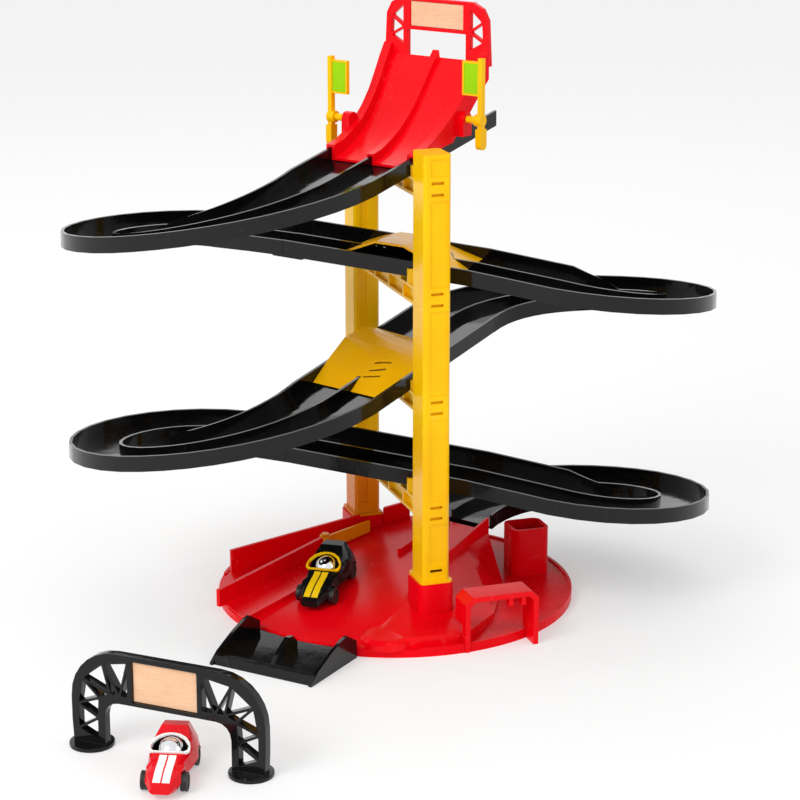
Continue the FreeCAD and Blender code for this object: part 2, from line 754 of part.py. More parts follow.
def base_plate():
    """The disc with its rim, ribbed underside, column sockets and spare socket."""
    plate = Moulding("base_plate")
    radius, height = cell("base_radius"), cell("base_height")
    top = height - cell("base_recess")
    under = top - cell("base_plate")
    plate.pad("XY", [Disc(0, 0, radius)], 0, height)
    plate.pocket("XY", [Disc(0, 0, radius - cell("base_rim"))], top, height)
    rays = [polar(1, turn) for turn in GATE_TURNS]
    gate = [(0, 0)] + [(radius * (1.3 * x), radius * (1.3 * y)) for x, y in rays]
    plate.pocket("XY", [gate], top, height)
    inner_bay = bay_outline(cell("base_boss"), cell("rib_radius") - 1)
    outer_bay = bay_outline(cell("rib_radius") + 1, radius - 3)
    bay = [inner_bay, outer_bay]
    cells = plate.pocket("XY", bay, 0, under)
    plate.around(cells, SPOKES)
    middle = cell("column_spacing") / 2
    sides = (-1, 1)
    wide, deep, corner = cell("socket_width"), cell("socket_depth"), cell("socket_corner")
    sockets = [RoundedBlock(0, side * middle, wide, deep, corner) for side in sides]
    plate.pad("XY", sockets, under, cell("socket_top"))
    gap = cell("tenon_clearance")
    rooms = [column_outline(side * middle, -gap) for side in sides]
    plate.pocket("XY", rooms, top + SOCKET_FLOOR - gap, cell("socket_top"))
    x, y, wall = cell("post_x"), cell("post_y"), cell("post_wall")
    wide, deep = cell("post_width"), cell("post_depth")
    plate.pad("XY", [RoundedBlock(x, y, wide, deep, corner)], under, cell("post_top"))
    bore = RoundedBlock(x, y, wide - 2 * wall, deep - 2 * wall, corner - wall)
    plate.pocket("XY", [bore], top, cell("post_top"))


SPOKES = 6
SPOKE_HALF = 1.0
GATE_TURNS = (152, 190, 225, 259)


def bay_outline(inner, outer):
    """One bay between two spokes of the underside, from one radius to another."""
    points = []
    for radius, turns in ((inner, (-1, 1)), (outer, (1, 0.5, 0, -0.5, -1))):
        half = 180 / SPOKES - math.degrees(SPOKE_HALF / radius.value)
        for share in turns:
            x, y = polar(1, half * share)
            points.append((radius * x, radius * y))
    return points


def deck_planes():
    """Level at the centre, slope along X and slope along Y of the deck's three surfaces."""
    level = size("deck_level")
    turn = math.radians(size("exit_angle"))
    radius = size("base_radius")
    exit_slope, chute = size("exit_fall") / radius, size("chute_fall") / radius
    return [
        (level, size("lane_fall") / radius, 0.0),
        (level, -exit_slope * math.cos(turn), -exit_slope * math.sin(turn)),
        (level - 0.7, -chute * LEFTWARD.x, -chute * LEFTWARD.y),
    ]


def deck_height(x, y):
    return min(level + along * x + aside * y for level, along, aside in deck_planes())


def below_plane(solid, level, along, aside=0.0):
    """Keeps what lies under a sloping plane."""
    reach = 260
    corners = [(-reach, -reach), (reach, -reach), (reach, reach), (-reach, reach)]
    plane = outline([V(x, y, level + along * x + aside * y) for x, y in corners])
    return solid.cut(Part.Face(plane).extrude(V(0, 0, 400)))


def below_deck(solid, rise=0.0):
    """Keeps what lies under the deck's surfaces, or a height over them."""
    for level, along, aside in deck_planes():
        solid = below_plane(solid, level + rise, along, aside)
    return solid


def strip_point(downstream, near):
    """Plan point from the distance along the leftward strip and to its near side."""
    return (
        LEFTWARD.x * downstream + math.sin(ANGLE) * near,
        LEFTWARD.y * downstream - math.cos(ANGLE) * near,
    )


def exit_point(downstream, near):
    turn = math.radians(size("exit_angle"))
    return (
        math.cos(turn) * downstream - math.sin(turn) * near,
        math.sin(turn) * downstream + math.cos(turn) * near,
    )


def under_triangle(corners, low):
    """The solid between a level and a sloping triangle."""
    return facet_shell([[V(x, y, low) for x, y, z in corners], [V(x, y, z) for x, y, z in corners]])


def housing():
    """The faceted slopes round the front socket, from the chute's near wall down to the disc."""
    half = size("track_half")
    start = size("deck_start")
    near_exit = exit_corners()[1]
    crest = [strip_point(-start, half), strip_point(-47, half), strip_point(-10, half)]
    crest += [(-6, -56), (-20, -82), near_exit]
    crest = [(x, y, deck_height(x, y) - 0.3) for x, y in crest]
    edge = 15.0
    foot = [(99, 12, DISC_TOP + 0.2), (89, -30, DISC_TOP + 0.2), (52, -104, edge - 4), (14, -146, edge)]
    foot += [(-37, -144, edge), (-62, -136, edge - 3)]
    slopes = None
    for k in range(len(crest) - 1):
        for corners in ((crest[k], crest[k + 1], foot[k + 1]), (crest[k], foot[k + 1], foot[k])):
            facet = under_triangle(corners, DISC_TOP)
            slopes = facet if slopes is None else slopes.fuse(facet)
    return slopes


def exit_corners():
    """The two ends of the exit's edge, on the rim of the disc."""
    reach = size("base_radius") - 0.5
    spread = math.degrees(math.asin(size("exit_half") / reach))
    return polar(reach, size("exit_angle") - spread), polar(reach, size("exit_angle") + spread)


def finish_deck():
    """The landing chute, the two parking lanes beside it and the slope down to the front rim."""
    half = size("track_half")
    start = size("deck_start")
    far_start = strip_point(-start, -half)
    near_start = strip_point(-start, half)
    reach = size("base_radius") - 0.5
    rear_end = polar(reach - 7, 154)
    far_exit, near_exit = exit_corners()
    plan = [far_start, rear_end, polar(reach, 162), polar(reach, 172), polar(reach, 182), polar(reach, 193)]
    plan += [far_exit] + [polar(reach, size("exit_angle") + turn) for turn in (-9, 0, 9)] + [near_exit]
    plan += [(-20, -82), (-6, -56), near_start]
    deck = below_deck(prism(plan, DISC_TOP, 90))
    wall = size("deck_wall")
    rear = bar_between(far_start, rear_end, wall, DISC_TOP, 110)
    rear = below_plane(rear, REAR_WALL_TOP, REAR_WALL_SLOPE)
    near = bar_between(near_start, strip_point(0, half), wall, DISC_TOP, 110)
    near = below_plane(near, NEAR_WALL_TOP, NEAR_WALL_SLOPE)
    rib = bar_between(strip_point(-start, 0), strip_point(-5, 0), wall, DISC_TOP, 110)
    rib = below_deck(rib, size("deck_rib_rise"))
    lane = bar_between(DIVERTER_PIVOT, polar(reach + 7, 181), 4.0, DISC_TOP, 110)
    lane = below_plane(lane, size("deck_level") + size("deck_wall_rise") + 3, deck_planes()[0][1])
    car = bar_between((-92, -21), polar(reach + 7, 199), 4.0, DISC_TOP, 110)
    car = below_deck(car, size("deck_rib_rise"))
    for part in (rear, near, rib, lane, car, housing(), front_lobe()):
        deck = deck.fuse(part)
    gap = size("tenon_clearance")
    for outward in (-1, 1):
        wide, deep = size("socket_width") + 2 * gap, size("socket_depth") + 2 * gap
        socket = rounded_box(wide, deep, size("socket_corner"), 0, 120)
        deck = deck.cut(placed(socket, V(0, outward * COLUMN_Y, 0)))
    return deck.cut(diverter_swing()).cut(tongue_slot())


def tongue_slot():
    """The slot under the chute's upper end that takes the tongue of the last track piece."""
    end = LOOP_LENGTH - size("joint_distance") - size("joint_gap")
    x, y, heading = plan_along(end, 1)
    slope, gap = size("steep_slope"), size("seat_gap")
    under = crossing_rim(4) - drop_along(end, 1) - size("track_height")
    reach = size("tongue_reach") + 2 * gap
    thick = size("tongue_thickness") + 3 * gap
    profile = [(-1, slope), (reach, -slope * reach), (reach, -slope * reach - thick), (-1, slope - thick)]
    half = size("tongue_half") + 2 * gap
    return placed(side_prism(profile, -half, half), V(x, y, under), math.degrees(heading))


# The chute's rear wall and near wall fall along X at their own rates.
REAR_WALL_TOP = 48.7
REAR_WALL_SLOPE = 0.132
NEAR_WALL_TOP = 29.5
NEAR_WALL_SLOPE = 0.29


DIVERTER_PIVOT = (-48.0, 51.0)
DIVERTER_TURN = 16.5
DIVERTER_LENGTH = 47.0


def diverter_foot():
    x, y = DIVERTER_PIVOT
    return V(x, y, deck_height(x, y))


def diverter_swing():
    """Room in the lane ridge for the diverter's hub, and the hole for its pin."""
    foot = diverter_foot()
    room = Part.makeCylinder(5.6, 60, foot + UP * 0.3)
    return room.fuse(Part.makeCylinder(size("pin_radius"), 20, foot - UP * PIN_DEPTH))


PIN_DEPTH = 8.0


def diverter():
    """A tapered flap with a round hub that turns on a pin."""
    flap = Moulding("diverter")
    flap.pad("XY", [ring_of_points(0, 0, 5.0, 16)], 0.6, 15.1)
    blade = [(0, 0.8), (DIVERTER_LENGTH, 9.2), (DIVERTER_LENGTH, 19.5), (0, 14.0)]
    flap.pad("XZ", [blade], -1.5, 1.5)
    flap.pocket("XY", [Disc(0, 0, cell("pin_radius") + cell("pin_clearance"))], 0.4, 15.3)
    flap.put(diverter_foot(), DIVERTER_TURN)


def diverter_pin():
    pin = Moulding("diverter_pin")
    pin.pad("XY", [Disc(0, 0, cell("pin_radius"))], -PIN_DEPTH, 16.5)
    pin.pad("XY", [ring_of_points(0, 0, 3.4, 12)], 15.4, 16.8)
    pin.put(diverter_foot())


def side_hook():
    """The arch at the front rim, with two small clips under its top."""
    hook = Moulding("side_hook")
    x, height, wall = cell("hook_width") / 2, cell("hook_height"), cell("hook_wall")
    depth = cell("hook_depth")
    corner, inner = 6.0, 4.0
    arch = [(-x, 0), (wall - x, 0), (wall - x, height - wall - inner), (wall + inner - x, height - wall)]
    arch += [(x - wall - inner, height - wall), (x - wall, height - wall - inner), (x - wall, 0), (x, 0)]
    arch += [(x, height - corner), (x - corner, height), (corner - x, height), (-x, height - corner)]
    hook.pad("XZ", [arch], 0, depth)
    clips = [rectangle(left, left + 4, height - wall - 7, height - wall + 1) for left in (6, 17)]
    hook.pad("XZ", clips, 1, 8)
    place = V(*HOOK_PLACE, 0)
    rim = Disc(-place.x, -place.y, cell("base_radius") + cell("seat_gap"))
    hook.pocket("XY", [rim], 0, cell("base_height"))
    apron = rectangle(-x, -x + 6, 8, depth)
    hook.pocket("XY", [apron], 0, 22)
    hook.put(place)


HOOK_PLACE = (40.5, -154.5)


def front_lobe():
    lobe = prism(ring_of_points(-50, -127, 22.0, 16), DISC_TOP, DISC_TOP + 5.5)
    top = flat(ring_of_points(-50, -127, 22.0, 16), DISC_TOP + 5.5)
    crown = flat(ring_of_points(-50, -127, 17.0, 16), DISC_TOP + 8.5)
    return lobe.fuse(Part.makeLoft([top.OuterWire, crown.OuterWire], True, True))


def exit_ramp():
    """The black ramp that hooks on the base: sloping floor, two side fins and a centre fin."""
    ramp = Moulding("exit_ramp")
    length, half = cell("exit_length"), cell("exit_half")
    start = cell("base_radius") - 8.0
    floor = [(0, 0), (length + 6, 0), (length + 6, 2.5), (length + 2, 6.5), (length - 4, 6.8)]
    floor += [(length - 9, 3.2), (6, 6.6), (0, 6.6)]
    ramp.pad("XZ", [floor], 2 - half, half - 2)
    fin = [(3, 0), (length + 8, 0), (length + 8, 2), (length - 2, 9), (length - 24, 18), (length - 40, 23)]
    fin += [(length - 48, 24), (3, 15)]
    ramp.pad("XZ", [fin], -half, 3 - half)
    ramp.pad("XZ", [fin], half - 3, half)
    middle = [(20, 3), (56, 3), (50, 9), (40, 15), (33, 19), (26, 18), (20, 12)]
    ramp.pad("XZ", [middle], -2, 2)
    ramp.pocket("XY", [Disc(-start, 0, cell("base_radius") + cell("seat_gap"))], 0, 40)
    ramp.put(V(*exit_point(start.value, 0), 0), size("exit_angle"))


# Start ramp


RAMP_STATIONS = [
    # distance ahead of the crossing, height of the lanes, half width at the walls' tops
    (57.0, 0.0, 8.5),
    (47.0, -11.5, 6.5),
    (37.0, -24.5, 4.5),
    (27.0, -36.5, 2.6),
    (16.0, -48.0, 1.4),
    (4.0, -58.0, 0.3),
    (-9.0, -66.0, 0.0),
    (-22.0, -72.2, 0.0),
    (-34.0, -76.2, 0.0),
]


def rim_ahead(distance):
    """Top of the walls of the highest strip, ahead of its crossing."""
    return crossing_rim(1) + size("steep_slope") * distance


def ramp_section(ahead, fall, spread):
    """Chute cross-section: two lanes, a middle rib, walls with an outer skirt over the track's walls."""
    half = size("track_half")
    lane = size("ramp_rise") + fall
    rim = rim_ahead(ahead)
    plate = 2.0
    gap = 0.5
    inside = half - size("track_wall") - gap + spread
    wall_in = inside - 2.2
    skirt_in = half + gap + spread
    skirt_out = skirt_in + 2.3
    shelf = max(rim + gap, lane - plate + 0.2)
    crest = max(lane + 9.0, rim + 2.6)
    hem = max(lane - 14.0, rim - 3.6)
    saddle = size("track_wall") / 2 + gap
    saddle_top = max(lane - plate + 0.2, rim - size("track_height") + size("rib_height") + gap)
    rib_top = max(lane + 6.0, saddle_top + 1.8)
    right = [
        (saddle, saddle_top),
        (saddle, lane - plate),
        (inside, lane - plate),
        (inside, shelf),
        (skirt_in, shelf),
        (skirt_in, hem),
        (skirt_out, hem),
        (skirt_out, crest),
        (wall_in, crest),
        (wall_in - 1.5, lane),
        (saddle + 2.4, lane),
        (saddle + 1.4, rib_top),
    ]
    left = [(-y, z) for y, z in reversed(right)]
    return [V(-ahead, y, z) for y, z in right + left]


def start_ramp():
    sections = [ramp_section(*station) for station in RAMP_STATIONS]
    ramp = facet_shell(sections)
    for side in (-1, 1):
        ramp = ramp.fuse(lever_lug(side))
    for side in (-1, 1):
        ramp = ramp.cut(lever_bore(side))
    return ramp


def lever_ahead(side):
    return size("near_lever_ahead") if side > 0 else size("far_lever_ahead")


def lever_height(side):
    return rim_ahead(lever_ahead(side)) + size("lever_rise")


def skirt_at(side):
    """Distance of the chute's outer face beside a lever from its centre line."""
    return size("track_half") + (2.4 if side > 0 else 0.6)


def lever_lug(side):
    """The lug on the chute's skirt that carries a lever's axle."""
    ahead = lever_ahead(side)
    inner = skirt_at(side)
    outer = inner + size("lug_length")
    height = lever_height(side)
    lug = side_prism(ring_of_points(-ahead, height, 6.0, 14), inner, outer)
    lug = lug.fuse(box(-ahead - 6, -ahead + 6, inner, outer, height - 14, height))
    if side < 0:
        lug = lug.mirror(ORIGIN, V(0, 1, 0))
    return lug


def lever_bore(side):
    """The blind hole in the lug that the lever's axle turns in."""
    outer = skirt_at(side) + size("lug_length")
    bore = size("lever_axle") + size("pin_clearance")
    ahead, height = lever_ahead(side), lever_height(side)
    bottom = V(-ahead, side * (outer - size("lug_bore")), height)
    return rod(bore, bottom, V(-ahead, side * (outer + 1), height))


def start_portal():
    """The gate over the start: rounded corners, a recess for the sign and a truss on each side."""
    portal = Moulding("start_portal")
    half, top, thick = cell("portal_half"), cell("ramp_rise") + cell("portal_rise"), cell("portal_thickness")
    low = cell("ramp_rise") - 4
    gate = low + cell("portal_gate")
    shape = [(-half, low), (-PORTAL_GATE_HALF, low), (-PORTAL_GATE_HALF, gate)]
    shape += [(PORTAL_GATE_HALF, gate), (PORTAL_GATE_HALF, low), (half, low)]
    shape += [(half - 2, top - 14), (half - 7, top - 5)]
    shape += [(half - 17, top), (17 - half, top), (7 - half, top - 5), (2 - half, top - 14)]
    windows = []
    for side in (-1, 1):
        chain = [(33.5, low + 11), (48.5, low + 19), (33.5, low + 27), (47.5, low + 36), (33.5, top - 4)]
        windows += [mirrored(hole) if side < 0 else hole for hole in truss_holes(chain)]
    portal.pad("YZ", [shape] + windows, -thick, 0)
    edge = cell("sign_edge")
    recess = rectangle(-PORTAL_SIGN_HALF, PORTAL_SIGN_HALF, gate + edge, top - edge)
    portal.pocket("YZ", [recess], -cell("sign_depth"), 0)
    return portal


PORTAL_GATE_HALF = 30.0
PORTAL_SIGN_HALF = 27.2
SIGN_GAP = 0.3


def truss_holes(chain):
    """The triangles between the struts of a zigzag, each drawn in by half a strut."""
    holes = []
    for a, b, c in zip(chain, chain[1:], chain[2:]):
        points = [(as_length(u), as_length(v)) for u, v in (a, b, c)]
        sides = []
        for k in range(3):
            (u0, v0), (u1, v1) = points[(k + 1) % 3], points[(k + 2) % 3]
            sides.append(math.hypot(u1.value - u0.value, v1.value - v0.value))
        around = sum(sides)
        u = sum((point[0] * (side / around) for point, side in zip(points, sides)), Length(0.0, "0"))
        v = sum((point[1] * (side / around) for point, side in zip(points, sides)), Length(0.0, "0"))
        (au, av), (bu, bv), (cu, cv) = points
        first = (bu.value - au.value) * (cv.value - av.value)
        twice = abs(first - (cu.value - au.value) * (bv.value - av.value))
        share = 1 - STRUT_HALF * around / twice
        holes.append([(u + (pu - u) * share, v + (pv - v) * share) for pu, pv in points])
    return holes


STRUT_HALF = 1.1


def start_sign():
    sign = Moulding("start_sign")
    low = cell("ramp_rise") - 4 + cell("portal_gate") + cell("sign_edge") + SIGN_GAP
    high = cell("ramp_rise") + cell("portal_rise") - cell("sign_edge") - SIGN_GAP
    half = PORTAL_SIGN_HALF - SIGN_GAP
    sign.pad("YZ", [rectangle(-half, half, low, high)], -cell("sign_depth"), 2.6 - cell("sign_depth"))
    return sign


def lever_frame(side, name):
    """A flag lever about its axle: post with a handle below, and the flag's rim reaching inward."""
    lever = Moulding(name)
    thick = cell("lever_thickness")
    reach = cell("lever_side") - skirt_at(side) - cell("lug_length") + cell("lug_bore") - 0.3
    low, high = cell("flag_low"), cell("flag_low") + cell("flag_height")
    lever.pad("XZ", [Disc(0, 0, cell("lever_axle"))], -reach, thick)
    lever.pad("XZ", [ring_of_points(0, 0, 5.0, 16)], -3, thick)
    lever.pad("XZ", [rectangle(-2.5, 2.5, -10, high + 3)], 0, thick)
    grip = [(4.2, -7), (-4.2, -7)] + ring_of_points(0, -20, 4.2, 7, 180, 180)
    lever.pad("XZ", [grip], -0.8, thick + 0.8)
    rim = rectangle(thick - cell("flag_width"), thick, low, high)
    lever.pad("YZ", [rim, flag_window()], -1.8, 1.8)
    return lever


def flag_window():
    edge = cell("flag_edge")
    low, high = cell("flag_low") + edge, cell("flag_low") + cell("flag_height") - edge
    return rectangle(cell("lever_thickness") - cell("flag_width") + edge, -0.4, low, high)


def flag_panel(name):
    flag = Moulding(name)
    flag.pad("YZ", [flag_window()], -1.5, 1.5)
    return flag


# Bump covers over the second and third crossing


def rib_top(level, downstream):
    """Room for the track's middle rib under a cover."""
    slope = size("steep_slope") if level % 2 else size("gentle_slope")
    return crossing_rim(level) - size("track_height") + size("rib_height") - slope * downstream + 0.4


COVER_SKIN = 2.0


def bump_cover(level):
    """A hump over both lanes, higher on the right of the run, with three slits and three treads."""
    inside = size("track_half") - size("track_wall") - 0.4
    leftward = level % 2 == 1
    slope = size("steep_slope") if leftward else size("gentle_slope")
    floor = crossing_rim(level) - FLOOR_DEPTH + size("seat_gap")
    right = [(-46, 0.9), (-27, 12.0), (-6, 21.8), (18, 22.2), (40, 13.0), (62, 0.9)]
    left = [(-36, 0.9), (-21, 7.6), (-6, 12.8), (12, 13.2), (39, 8.0), (66, 0.9)]

    def rib_outline(points, y):
        upper = [V(x, y, floor - slope * x + z) for x, z in points]
        under = [(points[0][0] + 3.0, 0.0)]
        under += [(x, z - COVER_SKIN) for x, z in points[1:-1]]
        under += [(points[-1][0] - 3.0, 0.0)]
        lower = [V(x, y, floor - slope * x + z) for x, z in under]
        return upper + lower[::-1]

    cover = facet_shell([rib_outline(right, -inside), rib_outline(left, inside)])
    saddle = size("track_wall") / 2 + 0.5
    low = floor - 40
    rib_room = [(-70, rib_top(level, -70)), (80, rib_top(level, 80)), (80, low), (-70, low)]
    cover = cover.cut(side_prism(rib_room, -saddle, saddle))
    for k in range(3):
        slit = box(-26 + 6 * k, -24.2 + 6 * k, 8, inside - 6, floor - 30, floor + 60)
        cover = cover.cut(slit)
        x = -2 + 8 * k
        height = floor - slope * x + 21.3
        tread = box(x, x + 4, -inside - 1, 6 - inside, height, height + 20)
        cover = cover.cut(tread)
    heading = LEFTWARD if leftward else RIGHTWARD
    return placed(cover, ORIGIN, math.degrees(math.atan2(heading.y, heading.x)))


# Cars

CAR_SHAPE = [
    # along the car, then half width and height of the sill, the waist, the shoulder and the top
    (-0.500, 8.0, 4.5, 10.5, 9.0, 9.0, 13.5, 5.5, 17.0),
    (-0.450, 11.0, 4.0, 14.0, 9.5, 11.5, 17.0, 7.5, 25.0),
    (-0.365, 12.0, 4.0, 17.0, 10.0, 15.0, 19.5, 9.0, 31.0),
    (-0.240, 13.0, 4.0, 18.0, 10.5, 16.0, 20.0, 9.5, 32.0),
    (-0.130, 13.0, 4.0, 18.0, 10.0, 16.0, 20.0, 13.0, 26.0),
    (0.040, 13.0, 4.0, 16.5, 9.5, 14.5, 18.5, 12.0, 22.0),
    (0.150, 11.5, 4.0, 14.0, 9.5, 12.0, 17.0, 9.0, 19.0),
    (0.230, 11.5, 4.0, 15.2, 10.5, 13.6, 16.8, 8.0, 18.0),
    (0.330, 11.0, 4.0, 14.6, 10.0, 12.0, 15.6, 7.0, 16.4),
    (0.430, 8.5, 4.0, 10.5, 8.0, 8.5, 12.6, 6.0, 13.4),
    (0.500, 6.0, 5.0, 8.0, 7.0, 6.5, 9.8, 5.0, 10.4),
]
COCKPIT_PLACE = FreeCAD.Placement(V(-2.0, 0, 24.4), FreeCAD.Rotation(V(0, 1, 0), 24))
COCKPIT_EDGE = [(9.0, 13.0), (7.6, 14.8), (4.5, 15.4), (-1.0, 14.2), (-5.8, 11.0), (-8.8, 6.4), (-9.8, 2.0)]
DRIVER_PLACE = V(-4.6, 0, 19.4)


def cockpit_outline(inset=0.0):
    """Half-round outline with its flat side toward the nose, drawn in by a distance."""
    near = [(u - inset if u > 0 else u + inset * 0.9, v - inset * 1.1) for u, v in COCKPIT_EDGE]
    near = [(u, max(v, 1.0)) for u, v in near]
    return near + [(u, -v) for u, v in reversed(near)]


def car_body():
    """Body about the middle of the wheelbase, nose to +X, standing on Z = 0."""
    length, width = size("car_length"), size("car_width")
    sections = []
    for share, *pairs in CAR_SHAPE:
        half = list(zip(pairs[0::2], pairs[1::2]))
        points = half + [(-y, z) for y, z in reversed(half)]
        sections.append([V(share * length, y * width / 36.0, z) for y, z in points])
    body = facet_shell(sections)
    radius = size("wheel_radius")
    for x in (-size("wheel_base") / 2, size("wheel_base") / 2):
        well = side_prism(ring_of_points(x, radius, radius + 1.3, 12, 15), 10.6, width)
        body = body.cut(well).cut(well.mirror(ORIGIN, V(0, 1, 0)))
        body = body.cut(rod(size("axle_radius") + size("pin_clearance"), V(x, -20, radius), V(x, 20, radius)))
    room = prism(cockpit_outline(2.0), -7, 30)
    seat = prism(cockpit_outline(-0.02), -0.1, 30)
    for cut in (room, seat):
        cut.Placement = COCKPIT_PLACE
        body = body.cut(cut)
    return body.cut(ball(size("driver_radius") + 0.3))


def ball(radius):
    """A ball of flat facets about the driver's place."""
    sections = []
    for k in range(9):
        turn = math.radians(-80 + 20 * k)
        ring = ring_of_points(0, 0, radius * math.cos(turn), 14)
        sections.append([DRIVER_PLACE + V(x, y, radius * math.sin(turn)) for x, y in ring])
    return facet_shell(sections)


def car_ring(name, placement):
    """The trim round the cockpit's opening."""
    ring = Moulding(name)
    ring.pad("XY", [cockpit_outline(), cockpit_outline(2.0)], 0, cell("ring_thickness"))
    ring.body.Placement = placement.multiply(COCKPIT_PLACE)


TYRE_SIDES = 20


def car_wheels(name, placement, middle):
    """Two tyres with dished hubs on one axle."""
    wheels = Moulding(name)
    radius, width = cell("wheel_radius"), cell("wheel_width")
    outer = cell("car_width") / 2 - 0.6
    wheels.pad("XZ", [Disc(0, 0, cell("axle_radius"))], 0.5 - outer, outer - 0.5)
    tyre, dish = ring_of_points(0, 0, radius, TYRE_SIDES), ring_of_points(0, 0, radius - 2.2, 10)
    hub = ring_of_points(0, 0, 2.6, 6)
    wheels.pad("XZ", [tyre], -outer, width - outer)
    wheels.pad("XZ", [tyre], outer - width, outer)
    wheels.pocket("XZ", [dish], -outer, 0.8 - outer)
    wheels.pocket("XZ", [dish], outer - 0.8, outer)
    wheels.pad("XZ", [hub], 0.2 - outer, 1 - outer)
    wheels.pad("XZ", [hub], outer - 1, outer - 0.2)
    middle_place = FreeCAD.Placement(V(middle, 0, radius.value), FreeCAD.Rotation())
    wheels.body.Placement = placement.multiply(middle_place)


def build_car(name, placement):
    half = size("wheel_base") / 2
    for part, shape in (("body", car_body()), ("driver", ball(size("driver_radius")))):
        piece = finished(f"{name}_{part}", shape)
        piece.Placement = placement.multiply(piece.Placement)
    car_ring(f"{name}_ring", placement)
    car_wheels(f"{name}_front_wheels", placement, half)
    car_wheels(f"{name}_rear_wheels", placement, -half)


# Finish arch

ARCH_SIGN = (-29.0, 25.0)
CROWN_LOW = 38.0
SIGN_LOW = 41.0
FOOT_THICK = 3.0


def finish_arch():
    """A truss arch on two round feet, standing on the floor."""
    arch = Moulding("finish_arch")
    half = cell("arch_span") / 2 + cell("arch_leg") / 2
    inner = cell("arch_span") / 2 - cell("arch_leg") / 2
    height, depth = cell("arch_height"), cell("arch_depth") / 2
    bend, small = 38.0, 12.0
    outer = [(half - 1, 1), (half, 20)] + ring_of_points(half - bend, height - bend, bend, 8, 0, 90)
    hollow = [(inner, 1), (inner, 20)] + ring_of_points(inner - small, CROWN_LOW - small, small, 5, 0, 90)
    shape = outer + mirrored(outer) + arch_inside(hollow)
    windows = []
    for side in (-1, 1):
        end = ARCH_SIGN[1] + 3 if side > 0 else 3 - ARCH_SIGN[0]
        chain = [(inner + 5, 5), (half - 5, 13), (inner + 5, 24), (half - 5, 33)]
        chain += [(inner + 4, 40), (half - 9, 54)]
        chain += [(inner - 5, 44), (half - 27, 68), (inner - 13, 43.5), (end, 72), (end, 43.5)]
        windows += [mirrored(hole) if side < 0 else hole for hole in truss_holes(chain)]
    sign = rectangle(*ARCH_SIGN, SIGN_LOW, height - 4)
    arch.pad("XZ", [shape, sign] + windows, -depth, depth)
    feet = [ring_of_points(side * cell("arch_span") / 2, 0, cell("arch_foot"), 24) for side in (-1, 1)]
    arch.pad("XY", feet, 0, FOOT_THICK)
    arch.put(V(size("arch_x"), size("arch_y"), 0), size("arch_turn"))


def arch_inside(right):
    """The inner edge of an arch, from the left foot over to the right foot."""
    left = [(-as_length(u), v) for u, v in right]
    return left + right[::-1]


def finish_sign():
    sign = Moulding("finish_sign")
    left, right = ARCH_SIGN
    high = cell("arch_height") - 4 - SIGN_GAP
    plate = rectangle(left + SIGN_GAP, right - SIGN_GAP, SIGN_LOW + SIGN_GAP, high)
    sign.pad("XZ", [plate], -1.5, 1.5)
    sign.put(V(size("arch_x"), size("arch_y"), 0), size("arch_turn"))


# Assembly

base_plate()
finished("finish_deck", finish_deck())
side_hook()
exit_ramp()
diverter()
diverter_pin()
foot_post(-1, "front_post")
foot_post(1, "rear_post")
for index, name in enumerate(("frame_lower", "frame_middle", "frame_upper", "frame_top")):
    tower_frame(index, name)
for level in (1, 2, 3, 4):
    finished(f"track_loop_{level}", track_loop(level))
finished("bump_cover_upper", bump_cover(2))
finished("bump_cover_lower", bump_cover(3))

strip_turn = 180 + size("strip_angle")
finished("start_ramp", start_ramp(), ORIGIN, strip_turn)
portal_ahead = size("ramp_top") + size("seat_gap")
portal_shift = V(-LEFTWARD.x * portal_ahead, -LEFTWARD.y * portal_ahead, 0)
start_portal().put(portal_shift, strip_turn)
start_sign().put(portal_shift, strip_turn)

for side, name in ((1, "near"), (-1, "far")):
    x, y = strip_point(-lever_ahead(side), side * size("lever_side"))
    turn = strip_turn if side > 0 else strip_turn + 180
    axle = V(x, y, lever_height(side))
    lever_frame(side, f"{name}_lever").put(axle, turn)
    flag_panel(f"{name}_flag").put(axle, turn)

PARKING = (-71, -29)
slope_normal = V(-deck_planes()[1][1], -deck_planes()[1][2], 1)
car_heading = V(math.cos(math.radians(232)), math.sin(math.radians(232)), 0)
upright = FreeCAD.Rotation(car_heading, slope_normal.cross(car_heading), slope_normal, "ZXY")
build_car("black_car", FreeCAD.Placement(V(*PARKING, deck_height(*PARKING) + 0.3), upright))
build_car("red_car", FreeCAD.Placement(V(-274, -307, 0), FreeCAD.Rotation(UP, 246)))
finish_arch()
finish_sign()

doc.recompute()
for item in doc.Objects:
    if "Invalid" in item.State or "Error" in item.State:
        raise SystemExit(f"{item.Label} did not build")
for piece in PIECES:
    if piece.Shape.isNull() or not piece.Shape.isValid():
        raise SystemExit(f"{piece.Label} has no valid shape")
    print(piece.Label, len(piece.Shape.Solids), round(piece.Shape.Volume))

os.makedirs("parts", exist_ok=True)
for piece in PIECES:
    piece.Shape.exportStep(f"parts/{piece.Label}.step")
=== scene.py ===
"""The looks of a toy race tower: finishes, rounded mouldings, two cars, floor, light and camera."""
import json
import math

import bpy
from mathutils import Euler, Matrix, Vector

